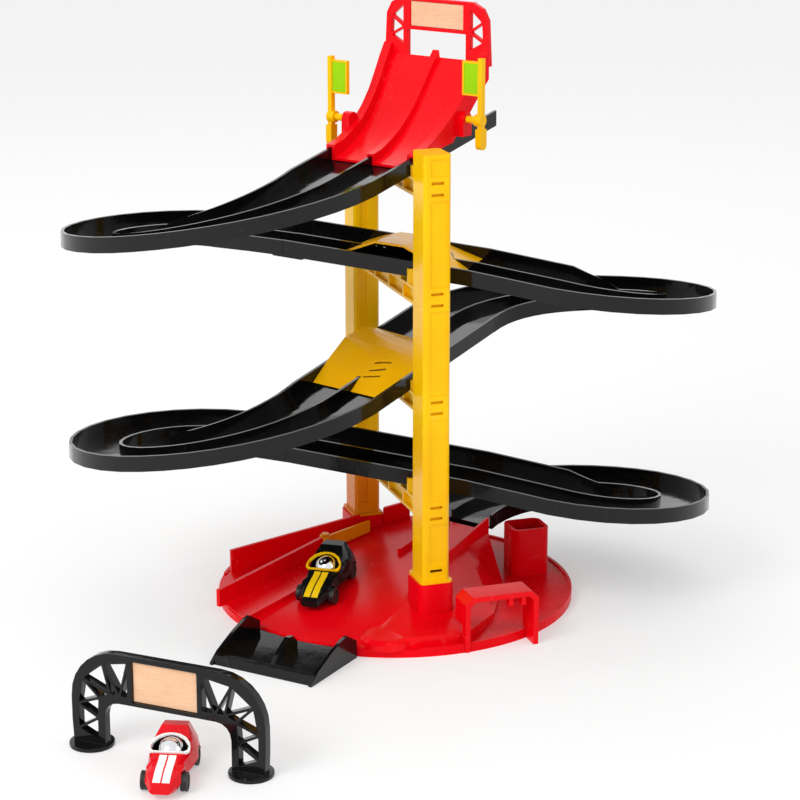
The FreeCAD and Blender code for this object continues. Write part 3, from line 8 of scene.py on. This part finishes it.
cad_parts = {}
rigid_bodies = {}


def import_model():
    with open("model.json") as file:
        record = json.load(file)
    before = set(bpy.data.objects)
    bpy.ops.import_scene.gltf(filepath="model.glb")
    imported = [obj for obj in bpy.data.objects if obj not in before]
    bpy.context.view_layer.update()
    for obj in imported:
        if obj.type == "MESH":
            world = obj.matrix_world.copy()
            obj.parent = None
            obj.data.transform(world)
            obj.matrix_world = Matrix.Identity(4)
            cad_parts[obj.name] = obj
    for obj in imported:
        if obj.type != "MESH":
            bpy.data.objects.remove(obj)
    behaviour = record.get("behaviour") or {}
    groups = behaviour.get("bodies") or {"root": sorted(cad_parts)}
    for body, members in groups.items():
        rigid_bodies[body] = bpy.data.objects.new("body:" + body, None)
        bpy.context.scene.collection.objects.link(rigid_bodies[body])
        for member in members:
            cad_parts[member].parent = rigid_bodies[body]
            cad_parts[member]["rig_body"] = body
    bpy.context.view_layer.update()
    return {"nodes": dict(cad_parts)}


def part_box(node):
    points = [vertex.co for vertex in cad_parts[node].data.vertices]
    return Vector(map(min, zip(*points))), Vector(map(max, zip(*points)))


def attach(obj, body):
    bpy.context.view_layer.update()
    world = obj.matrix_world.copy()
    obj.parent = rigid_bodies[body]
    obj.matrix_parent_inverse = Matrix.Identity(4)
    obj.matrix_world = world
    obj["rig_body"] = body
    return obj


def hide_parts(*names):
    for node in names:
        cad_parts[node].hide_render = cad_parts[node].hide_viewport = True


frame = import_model()
bpy.ops.object.select_all(action="DESELECT")


# Shader tools

# Socket numbers of a colour Mix node, where several sockets share a name
MIX_FACTOR = 0
MIX_FIRST = 6
MIX_SECOND = 7
MIX_RESULT = 2


class Value:
    """A socket of one node tree, on which numbers are worked out with ordinary signs."""

    def __init__(self, graph, socket):
        self.graph = graph
        self.socket = socket

    def _math(self, operation, first, second):
        return self.graph.node("ShaderNodeMath", {"operation": operation}, {0: first, 1: second})

    def __add__(self, other):
        return self._math("ADD", self, other)

    __radd__ = __add__

    def __sub__(self, other):
        return self._math("SUBTRACT", self, other)

    def __rsub__(self, other):
        return self._math("SUBTRACT", other, self)

    def __mul__(self, other):
        return self._math("MULTIPLY", self, other)

    __rmul__ = __mul__

    def __truediv__(self, other):
        return self._math("DIVIDE", self, other)

    def __pow__(self, other):
        return self._math("POWER", self, other)

    def __gt__(self, other):
        return self._math("GREATER_THAN", self, other)

    def __lt__(self, other):
        return self._math("LESS_THAN", self, other)

    def most(self, other):
        """The larger of two values."""
        return self._math("MAXIMUM", self, other)

    def size(self):
        """The value without its sign."""
        return self.graph.node("ShaderNodeMath", {"operation": "ABSOLUTE"}, {0: self})

    def band(self, low, high):
        """0 at low, 1 at high, and smooth between them."""
        return self.graph.node("ShaderNodeMapRange", {"interpolation_type": "SMOOTHSTEP"},
                               {"Value": self, "From Min": low, "From Max": high})

    def sibling(self, name):
        """Another output of the same node."""
        return Value(self.graph, self.socket.node.outputs[name])


class Graph:
    """A node tree that makes its own nodes and links."""

    def __init__(self, tree):
        self.tree = tree

    def node(self, kind, settings=None, inputs=None, output=0):
        """Adds a node: its settings first, then the values or links of its sockets."""
        made = self.tree.nodes.new(kind)
        for key, value in (settings or {}).items():
            setattr(made, key, value)
        for key, value in (inputs or {}).items():
            self.feed(made.inputs[key], value)
        return Value(self, made.outputs[output])

    def feed(self, socket, value):
        """Links a value to a socket, or sets the socket's own value."""
        if isinstance(value, Value):
            self.tree.links.new(value.socket, socket)
        else:
            socket.default_value = value

    def direct_rays(self):
        """1 for rays from the camera, off gloss or through glass, and 0 for those that only light."""
        camera_ray = self.node("ShaderNodeLightPath", output="Is Camera Ray")
        glossy_ray = camera_ray.sibling("Is Glossy Ray")
        return camera_ray.most(glossy_ray).most(camera_ray.sibling("Is Transmission Ray"))


class Finish(Graph):
    """One material: its principled shader and the nodes that feed it."""

    def __init__(self, name):
        self.material = bpy.data.materials.new(name)
        self.material.use_nodes = True
        super().__init__(self.material.node_tree)
        self.shader = self.tree.nodes["Principled BSDF"]

    def set(self, **sockets):
        """Feeds sockets of the shader, whose names are written with _ for a space."""
        for key, value in sockets.items():
            self.feed(self.shader.inputs[key.replace("_", " ")], value)

    def here(self):
        """Object coordinates in metres."""
        return self.node("ShaderNodeTexCoord", output="Object")

    def stretched(self, scale, turn=0.0):
        """Object coordinates stretched along each axis and turned about the vertical."""
        return self.node("ShaderNodeMapping", None,
                         {"Vector": self.here(), "Scale": scale, "Rotation": (0, 0, turn)})

    def along(self, place):
        """The three object coordinates read in the axes of a placement."""
        read = self.node("ShaderNodeMapping", {"vector_type": "TEXTURE"},
                         {"Vector": self.here(), "Rotation": place.to_euler(), "Location": place.translation})
        x = self.node("ShaderNodeSeparateXYZ", None, {"Vector": read}, output="X")
        return x, x.sibling("Y"), x.sibling("Z")

    def repaint(self, mask, colour):
        """Lays a colour over the base colour where a mask is 1."""
        under = self.shader.inputs["Base Color"].links[0].from_socket
        self.set(Base_Color=self.blend(mask, Value(self, under), colour))

    def noise(self, vector, scale, detail=2.0, roughness=0.5, distortion=0.0):
        """A cloudy value, with scale waves for each metre."""
        return self.node("ShaderNodeTexNoise", None,
                         {"Vector": vector, "Scale": scale, "Detail": detail,
                          "Roughness": roughness, "Distortion": distortion})

    def blend(self, factor, first, second):
        """Two colours mixed by a factor."""
        return self.node("ShaderNodeMix", {"data_type": "RGBA"},
                         {MIX_FACTOR: factor, MIX_FIRST: first, MIX_SECOND: second}, output=MIX_RESULT)

    def bump(self, height, strength, distance):
        """A normal tilted by a height, where a height of 1 is a distance in metres."""
        return self.node("ShaderNodeBump", None,
                         {"Height": height, "Strength": strength, "Distance": distance})


def tone(red, green, blue):
    """A colour written as seen on a screen, made linear by the sRGB curve."""
    def linear(level):
        share = level / 255
        return share / 12.92 if share <= 0.04045 else ((share + 0.055) / 1.055) ** 2.4

    return linear(red), linear(green), linear(blue), 1.0


# Finishes

SCRATCH_TONE = tone(225, 225, 225)
SCRATCH_TURN = 0.6
SCRATCHES_ALONG = (300, 28, 60)
SCRATCHES_ACROSS = (28, 320, 60)
SMUDGE_ROUGHNESS = 0.08
SCRATCH_ROUGHNESS = 0.12
SCRATCH_DEPTH = 0.10
COARSE_RIPPLE = 0.60
FINE_RIPPLE = 0.15


def moulded(name, colour, shade, rough, wear=0.02, gloss=0.2):
    """Glossy moulded plastic: slow colour drift, smudges, hair scratches and a faint ripple."""
    finish = Finish(name)
    here = finish.here()
    drift = finish.noise(here, scale=14.0).band(0.3, 0.7)
    smudge = finish.noise(here, scale=45.0, detail=4.0, roughness=0.6).band(0.35, 0.75)
    first_way = finish.stretched(SCRATCHES_ALONG, SCRATCH_TURN)
    other_way = finish.stretched(SCRATCHES_ACROSS, -SCRATCH_TURN)
    streaks = finish.noise(first_way, scale=2.0, detail=3.0).band(0.62, 0.70)
    crossed = finish.noise(other_way, scale=2.0, detail=3.0).band(0.63, 0.71)
    scratch = streaks.most(crossed) * finish.noise(here, scale=22.0).band(0.48, 0.62)
    body = finish.blend(drift, colour, shade)
    coarse = finish.noise(here, scale=160.0, detail=1.0) * COARSE_RIPPLE
    fine = finish.noise(here, scale=900.0, detail=1.0) * FINE_RIPPLE
    finish.set(Base_Color=finish.blend(scratch * wear, body, SCRATCH_TONE),
               Roughness=rough + smudge * SMUDGE_ROUGHNESS + scratch * SCRATCH_ROUGHNESS,
               Normal=finish.bump(coarse + fine - scratch * SCRATCH_DEPTH, strength=0.10, distance=0.0006),
               Specular_IOR_Level=gloss)
    return finish


FIBRES = (40, 40, 420)
CLOUDS = (1, 1, 3)
PORES = (260, 260, 2600)
GRAIN_SHARE = 0.55
CLOUD_SHARE = 0.25
PORE_SHARE = 0.30
GRAIN_HEIGHT = 0.5
WOOD_ROUGHNESS = 0.48
GRAIN_ROUGHNESS = 0.14


def birch(name):
    """Pale sanded wood of the bare plates: fine grain along the plate and short pores."""
    finish = Finish(name)
    fibres = finish.stretched(FIBRES)
    grain = finish.noise(fibres, scale=3.0, detail=4.0, roughness=0.6, distortion=0.4).band(0.3, 0.75)
    cloud = finish.noise(finish.stretched(CLOUDS), scale=30.0).band(0.3, 0.7)
    pores = finish.noise(finish.stretched(PORES), scale=1.0).band(0.60, 0.74)
    figure = grain * GRAIN_SHARE + cloud * CLOUD_SHARE
    base = finish.blend(figure, tone(240, 198, 162), tone(222, 172, 132))
    finish.set(Base_Color=finish.blend(pores * PORE_SHARE, base, tone(184, 130, 92)),
               Roughness=WOOD_ROUGHNESS + grain * GRAIN_ROUGHNESS,
               Normal=finish.bump(grain * GRAIN_HEIGHT - pores, strength=0.16, distance=0.0004),
               Specular_IOR_Level=0.3)
    return finish.material


SWIRLS = (900, 90, 200)
SWIRL_TURN = 0.9
MARK_SHARE = 0.25
CHROME_ROUGHNESS = 0.05
MARK_ROUGHNESS = 0.07
SWIRL_ROUGHNESS = 0.05


def chromed(name):
    """Bright plating with faint swirls and finger marks."""
    finish = Finish(name)
    marks = finish.noise(finish.here(), scale=130.0, detail=3.0).band(0.45, 0.8)
    swirl = finish.noise(finish.stretched(SWIRLS, SWIRL_TURN), scale=1.0).band(0.6, 0.75)
    finish.set(Base_Color=finish.blend(marks * MARK_SHARE, tone(232, 233, 236), tone(196, 198, 203)),
               Roughness=CHROME_ROUGHNESS + marks * MARK_ROUGHNESS + swirl * SWIRL_ROUGHNESS,
               Normal=finish.bump(swirl, strength=0.03, distance=0.0003),
               Metallic=1.0)
    return finish.material


DUST_SHARE = 0.5
RUBBER_ROUGHNESS = 0.46
DUST_ROUGHNESS = 0.25


def rubbery(name):
    """Dull black of the wheels, a little dusty."""
    finish = Finish(name)
    here = finish.here()
    dust = finish.noise(here, scale=180.0, detail=4.0, roughness=0.6).band(0.45, 0.8)
    finish.set(Base_Color=finish.blend(dust * DUST_SHARE, tone(20, 20, 21), tone(58, 56, 54)),
               Roughness=RUBBER_ROUGHNESS + dust * DUST_ROUGHNESS,
               Normal=finish.bump(finish.noise(here, scale=1400.0), strength=0.12, distance=0.0004))
    return finish.material


# Places and sizes of the painted shade that stands for the cover's three slits
SLOT_PLACES = (0.035, 0.043, 0.051)
SLOT_SLANT = 0.40
SLOT_EDGE = (0.0011, 0.0008)
SLOT_MIDDLE = 0.0105
SLOT_HALF_LENGTH = 0.0068
SLIT_SHADE_SHARE = 0.9


def with_slit_shade(name, turn):
    """Yellow plastic with painted shade in three slanting slits beside the middle rib, read along a strip of
    track.
    """
    finish = moulded(name, tone(255, 192, 6), tone(248, 178, 4), 0.22, gloss=0.14)
    ahead, aside, _ = finish.along(Matrix.Rotation(turn, 4, "Z"))
    slant = ahead + aside * SLOT_SLANT
    slit_shade = sum((slant - place).size().band(*SLOT_EDGE) for place in SLOT_PLACES)
    within = (aside - SLOT_MIDDLE).size() < SLOT_HALF_LENGTH
    # Painted shade: a dark tone laid where the slits would be, standing for the shade inside them
    finish.repaint(slit_shade * within * SLIT_SHADE_SHARE, tone(96, 62, 6))
    return finish.material


RED = moulded("red_plastic", tone(244, 3, 20), tone(230, 2, 16), 0.20, gloss=0.14).material
DEEP_RED = moulded("base_red_plastic", tone(240, 2, 22), tone(226, 2, 18), 0.24, gloss=0.08).material
YELLOW = moulded("yellow_plastic", tone(252, 200, 4), tone(246, 186, 2), 0.22, gloss=0.14).material
AMBER = moulded("amber_plastic", tone(242, 152, 8), tone(230, 134, 4), 0.22, gloss=0.14).material
BLACK = moulded("black_plastic", tone(15, 15, 17), tone(9, 9, 11), 0.07, wear=0.01, gloss=0.30).material
GREEN = moulded("green_plastic", tone(156, 214, 6), tone(144, 202, 3), 0.28, gloss=0.12).material
WHITE = moulded("white_plastic", tone(240, 240, 238), tone(232, 232, 230), 0.25).material
WOOD = birch("bare_birch")
CHROME = chromed("chrome")
RUBBER = rubbery("wheel_black")

# The strips of track under the two covers run at this angle to the x axis, one to each side of it
STRIP_ANGLE = math.radians(34.5)
COVER_LOWER = with_slit_shade("lower_cover_plastic", math.pi + STRIP_ANGLE)
COVER_UPPER = with_slit_shade("upper_cover_plastic", -STRIP_ANGLE)


# Modelling tools

SHARP_ANGLE = math.radians(32)
FLAT_ANGLE = math.radians(0.5)
ANY_SHAPE = math.radians(180)
MERGE_DISTANCE = 0.000004
FLAT_FACE_WEIGHT = 60
QUARTER_TURN = math.radians(90)

# Shares of a face's normal along an axis: faces that look along it, and faces that look across it
ALONG = 0.9
ACROSS = 0.1


def only(piece):
    """Makes one object the selected and active one."""
    bpy.ops.object.select_all(action="DESELECT")
    piece.select_set(True)
    bpy.context.view_layer.objects.active = piece


def edit_all(piece):
    """Enters edit mode with every face selected."""
    only(piece)
    bpy.ops.object.mode_set(mode="EDIT")
    bpy.ops.mesh.select_mode(type="FACE")
    bpy.ops.mesh.select_all(action="SELECT")


def leave_edit():
    bpy.ops.object.mode_set(mode="OBJECT")


def pick_faces(piece, wanted):
    """Enters edit mode with only the faces selected that a test of their centre and normal accepts."""
    edit_all(piece)
    bpy.ops.mesh.select_all(action="DESELECT")
    leave_edit()
    for face in piece.data.polygons:
        face.select = wanted(face.center, face.normal)
    bpy.ops.object.mode_set(mode="EDIT")


def finish_with(piece, kind, **settings):
    """Adds a modifier and applies it."""
    step = piece.modifiers.new(kind.lower(), kind)
    for key, value in settings.items():
        setattr(step, key, value)
    only(piece)
    bpy.ops.object.modifier_apply(modifier=step.name)


def soften(piece, width, segments=2):
    """Rounds the sharp edges, shades the rest smooth and keeps flat faces flat."""
    finish_with(piece, "BEVEL", width=width, segments=segments, limit_method="ANGLE",
                angle_limit=SHARP_ANGLE, use_clamp_overlap=True, miter_outer="MITER_ARC")
    bpy.ops.object.shade_smooth_by_angle(angle=SHARP_ANGLE)
    finish_with(piece, "WEIGHTED_NORMAL", keep_sharp=True, weight=FLAT_FACE_WEIGHT)


def stand_for(piece, finish, slot, *nodes):
    """Gives a piece its finish and lets it stand for CAD nodes of one body."""
    piece.data.materials.clear()
    piece.data.materials.append(finish)
    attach(piece, frame["nodes"][nodes[0]]["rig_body"])
    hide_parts(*nodes)


def merged_copy(node):
    """A copy of a CAD node with its facets merged."""
    piece = bpy.data.objects.new(node + "_moulding", frame["nodes"][node].data.copy())
    bpy.context.scene.collection.objects.link(piece)
    edit_all(piece)
    bpy.ops.mesh.customdata_custom_splitnormals_clear()
    bpy.ops.mesh.remove_doubles(threshold=MERGE_DISTANCE)
    bpy.ops.mesh.tris_convert_to_quads(face_threshold=FLAT_ANGLE, shape_threshold=ANY_SHAPE)
    leave_edit()
    return piece


def moulding(node, finish, slot, width, segments=2):
    """A copy of a CAD node with its edges rounded, which stands for the node."""
    piece = merged_copy(node)
    soften(piece, width, segments)
    stand_for(piece, finish, slot, node)


# Tower and arch

# Finish, slot, width of the rounded edges in metres, and the nodes
MOULDINGS = (
    (DEEP_RED, "red", 0.0008, ("base_plate",)),
    (RED, "red", 0.0007, ("finish_deck", "side_hook", "start_ramp", "start_portal")),
    (YELLOW, "yellow", 0.0004, ("front_post", "frame_lower", "frame_middle", "frame_upper", "frame_top",
                                "near_lever", "far_lever")),
    (COVER_UPPER, "yellow", 0.0004, ("bump_cover_upper",)),
    (COVER_LOWER, "yellow", 0.0004, ("bump_cover_lower",)),
    (AMBER, "yellow", 0.0004, ("rear_post", "diverter", "diverter_pin")),
    (BLACK, "black", 0.0006, ("exit_ramp", "finish_arch", "track_loop_1", "track_loop_2", "track_loop_3",
                              "track_loop_4")),
    (GREEN, "green", 0.0003, ("near_flag", "far_flag")),
    (WOOD, "sign_wood", 0.0002, ("start_sign", "finish_sign")),
)
for finish, slot, width, nodes in MOULDINGS:
    for node in nodes:
        moulding(node, finish, slot, width)


# Cars, in their own axes: x ahead, y to the left, z up from the floor under the middle

SMALL_EDGE = 0.0003

BODY_EDGE = 0.0014
BODY_EDGE_STEPS = 4
PAINT_ROUGHNESS = 0.10

WHEEL_RADIUS = 0.007
WHEEL_WIDTH = 0.005
WHEEL_OUTER = 0.0169
WHEEL_VERTICES = 48
RIM_INSET = 0.0017
RIM_DEPTH = 0.0007
HUB_INSET = 0.0024
HUB_RISE = 0.0005
CAP_INSET = 0.0008
CAP_DEPTH = 0.0003
TREAD_REACH = 0.9 * WHEEL_RADIUS
TREAD_SHOULDER = 0.0018
TREAD_GROOVE = 0.0003

AXLE_RADIUS = 0.0015
AXLE_LENGTH = 2 * WHEEL_OUTER - 0.004
AXLE_EDGE = 0.0002

DRIVER_RADIUS = 0.0112
DRIVER_PLACE = Vector((-0.0054, 0, 0.0170))
DRIVER_CUT = 0.8 * DRIVER_RADIUS
DRIVER_FOOT = 0.79 * DRIVER_RADIUS
DRIVER_FOOT_FACING = 0.99
DRIVER_FOOT_INSET = 0.0006
DRIVER_FOOT_RISE = 0.0002
DRIVER_SHARP_ANGLE = math.radians(30)

RING_LEAN = math.radians(24)
RING_MIDDLE = Vector((-0.002, 0, 0.0244))
RING_UP = Vector((math.sin(RING_LEAN), 0, math.cos(RING_LEAN)))
RING_SLIMMER = 0.0008
RING_WALL_FACING = 0.4

STRIPE_SIDES = (0.0006, 0.0062)
STRIPE_ENDS = (0.0078, 0.0372)
STRIPE_LOW = 0.0075
# The cockpit below its trim is painted near black: painted shade in the recess
COCKPIT_MIDDLE = -0.0024
COCKPIT_HALF_LENGTH = 0.0098
COCKPIT_HALF_WIDTH = 0.0138
COCKPIT_DEPTH = -0.0004
COCKPIT_LOW = 0.008
COCKPIT_SHADE_TONE = tone(12, 12, 13)


def middle_of(node):
    low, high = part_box(node)
    return (low + high) / 2


def car_place(car):
    """Where a car stands: its own axes run ahead, to its left and up from the floor under its middle."""
    front, rear = middle_of(car + "_front_wheels"), middle_of(car + "_rear_wheels")
    ahead = (front - rear).normalized()
    left = Vector((0, 0, 1)).cross(ahead)
    points = [vertex.co for vertex in frame["nodes"][car + "_front_wheels"].data.vertices]
    one = [p for p in points if (p - front).dot(left) > 0]
    other = [p for p in points if (p - front).dot(left) <= 0]
    left = (sum(one, Vector()) / len(one) - sum(other, Vector()) / len(other)).normalized()
    up = ahead.cross(left).normalized()
    left = up.cross(ahead)
    turn = Matrix((ahead, left, up)).transposed().to_4x4()
    return Matrix.Translation((front + rear) / 2 - up * WHEEL_RADIUS) @ turn


def cylinder(radius, depth, vertices):
    """A cylinder along y round the origin."""
    bpy.ops.object.select_all(action="DESELECT")
    bpy.ops.mesh.primitive_cylinder_add(vertices=vertices, radius=radius, depth=depth,
                                        rotation=(QUARTER_TURN, 0, 0))
    bpy.ops.object.transform_apply(location=True, rotation=True, scale=True)
    return bpy.context.object


def wheel(side):
    """One tyre with a dished rim, a hub and a groove round the tread, on its outer side."""
    tyre = cylinder(WHEEL_RADIUS, WHEEL_WIDTH, WHEEL_VERTICES)
    pick_faces(tyre, lambda centre, normal: normal.y * side > ALONG)
    bpy.ops.mesh.inset(thickness=RIM_INSET)
    bpy.ops.mesh.extrude_region_move(TRANSFORM_OT_translate={"value": (0, -RIM_DEPTH * side, 0)})
    bpy.ops.mesh.inset(thickness=HUB_INSET)
    bpy.ops.mesh.extrude_region_move(TRANSFORM_OT_translate={"value": (0, HUB_RISE * side, 0)})
    bpy.ops.mesh.inset(thickness=CAP_INSET, depth=-CAP_DEPTH)
    leave_edit()
    pick_faces(tyre, lambda centre, normal: abs(normal.y) < ACROSS and centre.xz.length > TREAD_REACH)
    bpy.ops.mesh.inset(thickness=TREAD_SHOULDER)
    bpy.ops.mesh.inset(thickness=TREAD_GROOVE, depth=-TREAD_GROOVE)
    leave_edit()
    soften(tyre, SMALL_EDGE)
    tyre.data.transform(Matrix.Translation((0, side * (WHEEL_OUTER - WHEEL_WIDTH / 2), 0)))
    return tyre


def axle():
    rod = cylinder(AXLE_RADIUS, AXLE_LENGTH, vertices=24)
    soften(rod, AXLE_EDGE, segments=1)
    return rod


def wheel_pair(car, end, place):
    """Two wheels and their axle, modelled at the middle and moved to one end of a car."""
    parts = [axle(), wheel(1), wheel(-1)]
    bpy.ops.object.select_all(action="DESELECT")
    for part in parts:
        part.select_set(True)
    pair = parts[0]
    bpy.context.view_layer.objects.active = pair
    bpy.ops.object.join()
    pair.name = f"{car}_{end}_wheel_pair"
    centre = place.inverted() @ middle_of(f"{car}_{end}_wheels")
    pair.data.transform(place @ Matrix.Translation(centre))
    stand_for(pair, RUBBER, "wheel_black", f"{car}_{end}_wheels")


def cockpit_trim(car, place, finish, slot):
    """The trim round a cockpit, with its inner wall moved out to leave a slim band."""
    trim = merged_copy(car + "_ring")
    middle = place @ RING_MIDDLE
    up = place.to_3x3() @ RING_UP

    def on_inner_wall(centre, normal):
        return abs(normal.dot(up)) < RING_WALL_FACING and (centre - middle).dot(normal) < 0

    pick_faces(trim, on_inner_wall)
    bpy.ops.transform.shrink_fatten(value=-RING_SLIMMER)
    leave_edit()
    soften(trim, SMALL_EDGE, segments=3)
    stand_for(trim, finish, slot, car + "_ring")


def driver(car, place):
    """The bright ball of a cockpit, cut flat and rounded where it sits on the floor."""
    bpy.ops.object.select_all(action="DESELECT")
    bpy.ops.mesh.primitive_uv_sphere_add(segments=56, ring_count=32, radius=DRIVER_RADIUS)
    ball = bpy.context.object
    ball.name = car + "_driver_ball"
    edit_all(ball)
    bpy.ops.mesh.bisect(plane_co=(0, 0, -DRIVER_CUT), plane_no=(0, 0, 1), use_fill=True, clear_inner=True)
    leave_edit()
    pick_faces(ball, lambda centre, normal: normal.z < -DRIVER_FOOT_FACING and centre.z < -DRIVER_FOOT)
    bpy.ops.mesh.inset(thickness=DRIVER_FOOT_INSET, depth=-DRIVER_FOOT_RISE)
    leave_edit()
    bpy.ops.object.shade_smooth_by_angle(angle=DRIVER_SHARP_ANGLE)
    ball.data.transform(place @ Matrix.Translation(DRIVER_PLACE))
    stand_for(ball, CHROME, "silver", car + "_driver")


def striped(name, paint, shade, stripe, place):
    """A car's gloss paint with twin stripes on the bonnet and painted shade inside the cockpit."""
    finish = moulded(name, paint, shade, PAINT_ROUGHNESS)
    x, y, z = finish.along(place)
    inner, outer = STRIPE_SIDES
    rear, front = STRIPE_ENDS
    beside = (y.size() > inner) * (y.size() < outer)
    finish.repaint(beside * (x > rear) * (x < front) * (z > STRIPE_LOW), stripe)
    # Painted shade: inside the cockpit and below the plane of its trim, the paint turns near black
    depth = (x - RING_MIDDLE.x) * RING_UP.x + (z - RING_MIDDLE.z) * RING_UP.z
    lengthwise = (x - COCKPIT_MIDDLE) / COCKPIT_HALF_LENGTH
    inside = lengthwise ** 2 + (y / COCKPIT_HALF_WIDTH) ** 2 < 1.0
    finish.repaint(inside * (depth < COCKPIT_DEPTH) * (z > COCKPIT_LOW), COCKPIT_SHADE_TONE)
    return finish.material


# Car, its paint in two shades, stripes, trim, and the slots of body and trim
CARS = (
    ("black_car", tone(17, 17, 19), tone(10, 10, 12), tone(250, 205, 20), YELLOW, "black", "yellow"),
    ("red_car", tone(232, 4, 24), tone(214, 2, 20), tone(248, 246, 242), WHITE, "red", "white"),
)
for car, paint, shade, stripe, trim, body_slot, trim_slot in CARS:
    place = car_place(car)
    body_finish = striped(car + "_paint", paint, shade, stripe, place)
    moulding(car + "_body", body_finish, body_slot, BODY_EDGE, BODY_EDGE_STEPS)
    cockpit_trim(car, place, trim, trim_slot)
    driver(car, place)
    wheel_pair(car, "front", place)
    wheel_pair(car, "rear", place)


# Floor, light and camera

FLOOR_SIZE = 14.0
FLOOR_WHITE = (0.96, 0.96, 0.96, 1.0)
FLOOR_ROUGHNESS = 0.6
FLOOR_GLOSS = 0.2
FLOOR_GLOW = 0.38
SURROUND_LIGHT = 0.84


def pale_floor():
    """A white studio floor that keeps the shadows and fades to plain white for the camera."""
    bpy.ops.mesh.primitive_plane_add(size=FLOOR_SIZE, location=(0, 0, 0))
    floor = bpy.context.object
    floor.name = "studio_floor"
    finish = Finish("studio_floor")
    finish.set(Base_Color=FLOOR_WHITE, Roughness=FLOOR_ROUGHNESS, Specular_IOR_Level=FLOOR_GLOSS)
    plain = Value(finish, finish.shader.outputs["BSDF"])
    glow = finish.node("ShaderNodeEmission", None, {"Strength": 1.0})
    both = finish.node("ShaderNodeMixShader", None, {0: finish.direct_rays() * FLOOR_GLOW, 1: plain, 2: glow})
    finish.feed(finish.tree.nodes["Material Output"].inputs["Surface"], both)
    floor.data.materials.append(finish.material)


def soft_lamp(name, place, aim, width, height, watts):
    """A rectangular soft light at a place in metres, turned towards an aim."""
    data = bpy.data.lights.new(name, "AREA")
    data.shape = "RECTANGLE"
    data.size = width
    data.size_y = height
    data.energy = watts
    lamp = bpy.data.objects.new(name, data)
    bpy.context.scene.collection.objects.link(lamp)
    lamp.location = place
    lamp.rotation_euler = (Vector(aim) - Vector(place)).to_track_quat("-Z", "Y").to_euler()


def white_surround():
    """A surround that the camera sees as plain white, and that lights the object a little less."""
    world = bpy.data.worlds.new("white_surround")
    bpy.context.scene.world = world
    world.use_nodes = True
    graph = Graph(world.node_tree)
    back = graph.tree.nodes["Background"]
    level = graph.node("ShaderNodeMapRange", None,
                       {"Value": graph.direct_rays(), "To Min": SURROUND_LIGHT, "To Max": 1.0})
    graph.feed(back.inputs["Color"], (1, 1, 1, 1))
    graph.feed(back.inputs["Strength"], level)


pale_floor()
white_surround()
soft_lamp("key_softbox", place=(-1.7, -1.0, 1.5), aim=(0, 0, 0.15), width=1.0, height=1.0, watts=22)
soft_lamp("fill_softbox", place=(1.5, -1.6, 1.3), aim=(0, 0, 0.2), width=1.6, height=1.2, watts=4)
soft_lamp("rear_softbox", place=(0.2, 1.8, 1.8), aim=(0, 0, 0.2), width=1.8, height=0.9, watts=6)

SENSOR = 36.0
CAMERA_LENS = 108.06
CAMERA_PLACE = (-0.6261, -1.8667, 0.7424)
CAMERA_TILT = math.radians(90 - 16.11)
CAMERA_TURN = math.radians(-18.66)
CAMERA_NEAR = 0.01

camera_data = bpy.data.cameras.new("photo_camera")
camera_data.sensor_width = SENSOR
camera_data.lens = CAMERA_LENS
camera_data.clip_start = CAMERA_NEAR
camera = bpy.data.objects.new("photo_camera", camera_data)
camera.location = CAMERA_PLACE
camera.rotation_euler = Euler((CAMERA_TILT, 0, CAMERA_TURN))
bpy.context.scene.collection.objects.link(camera)
bpy.context.scene.camera = camera
bpy.context.scene.view_settings.view_transform = "Standard"
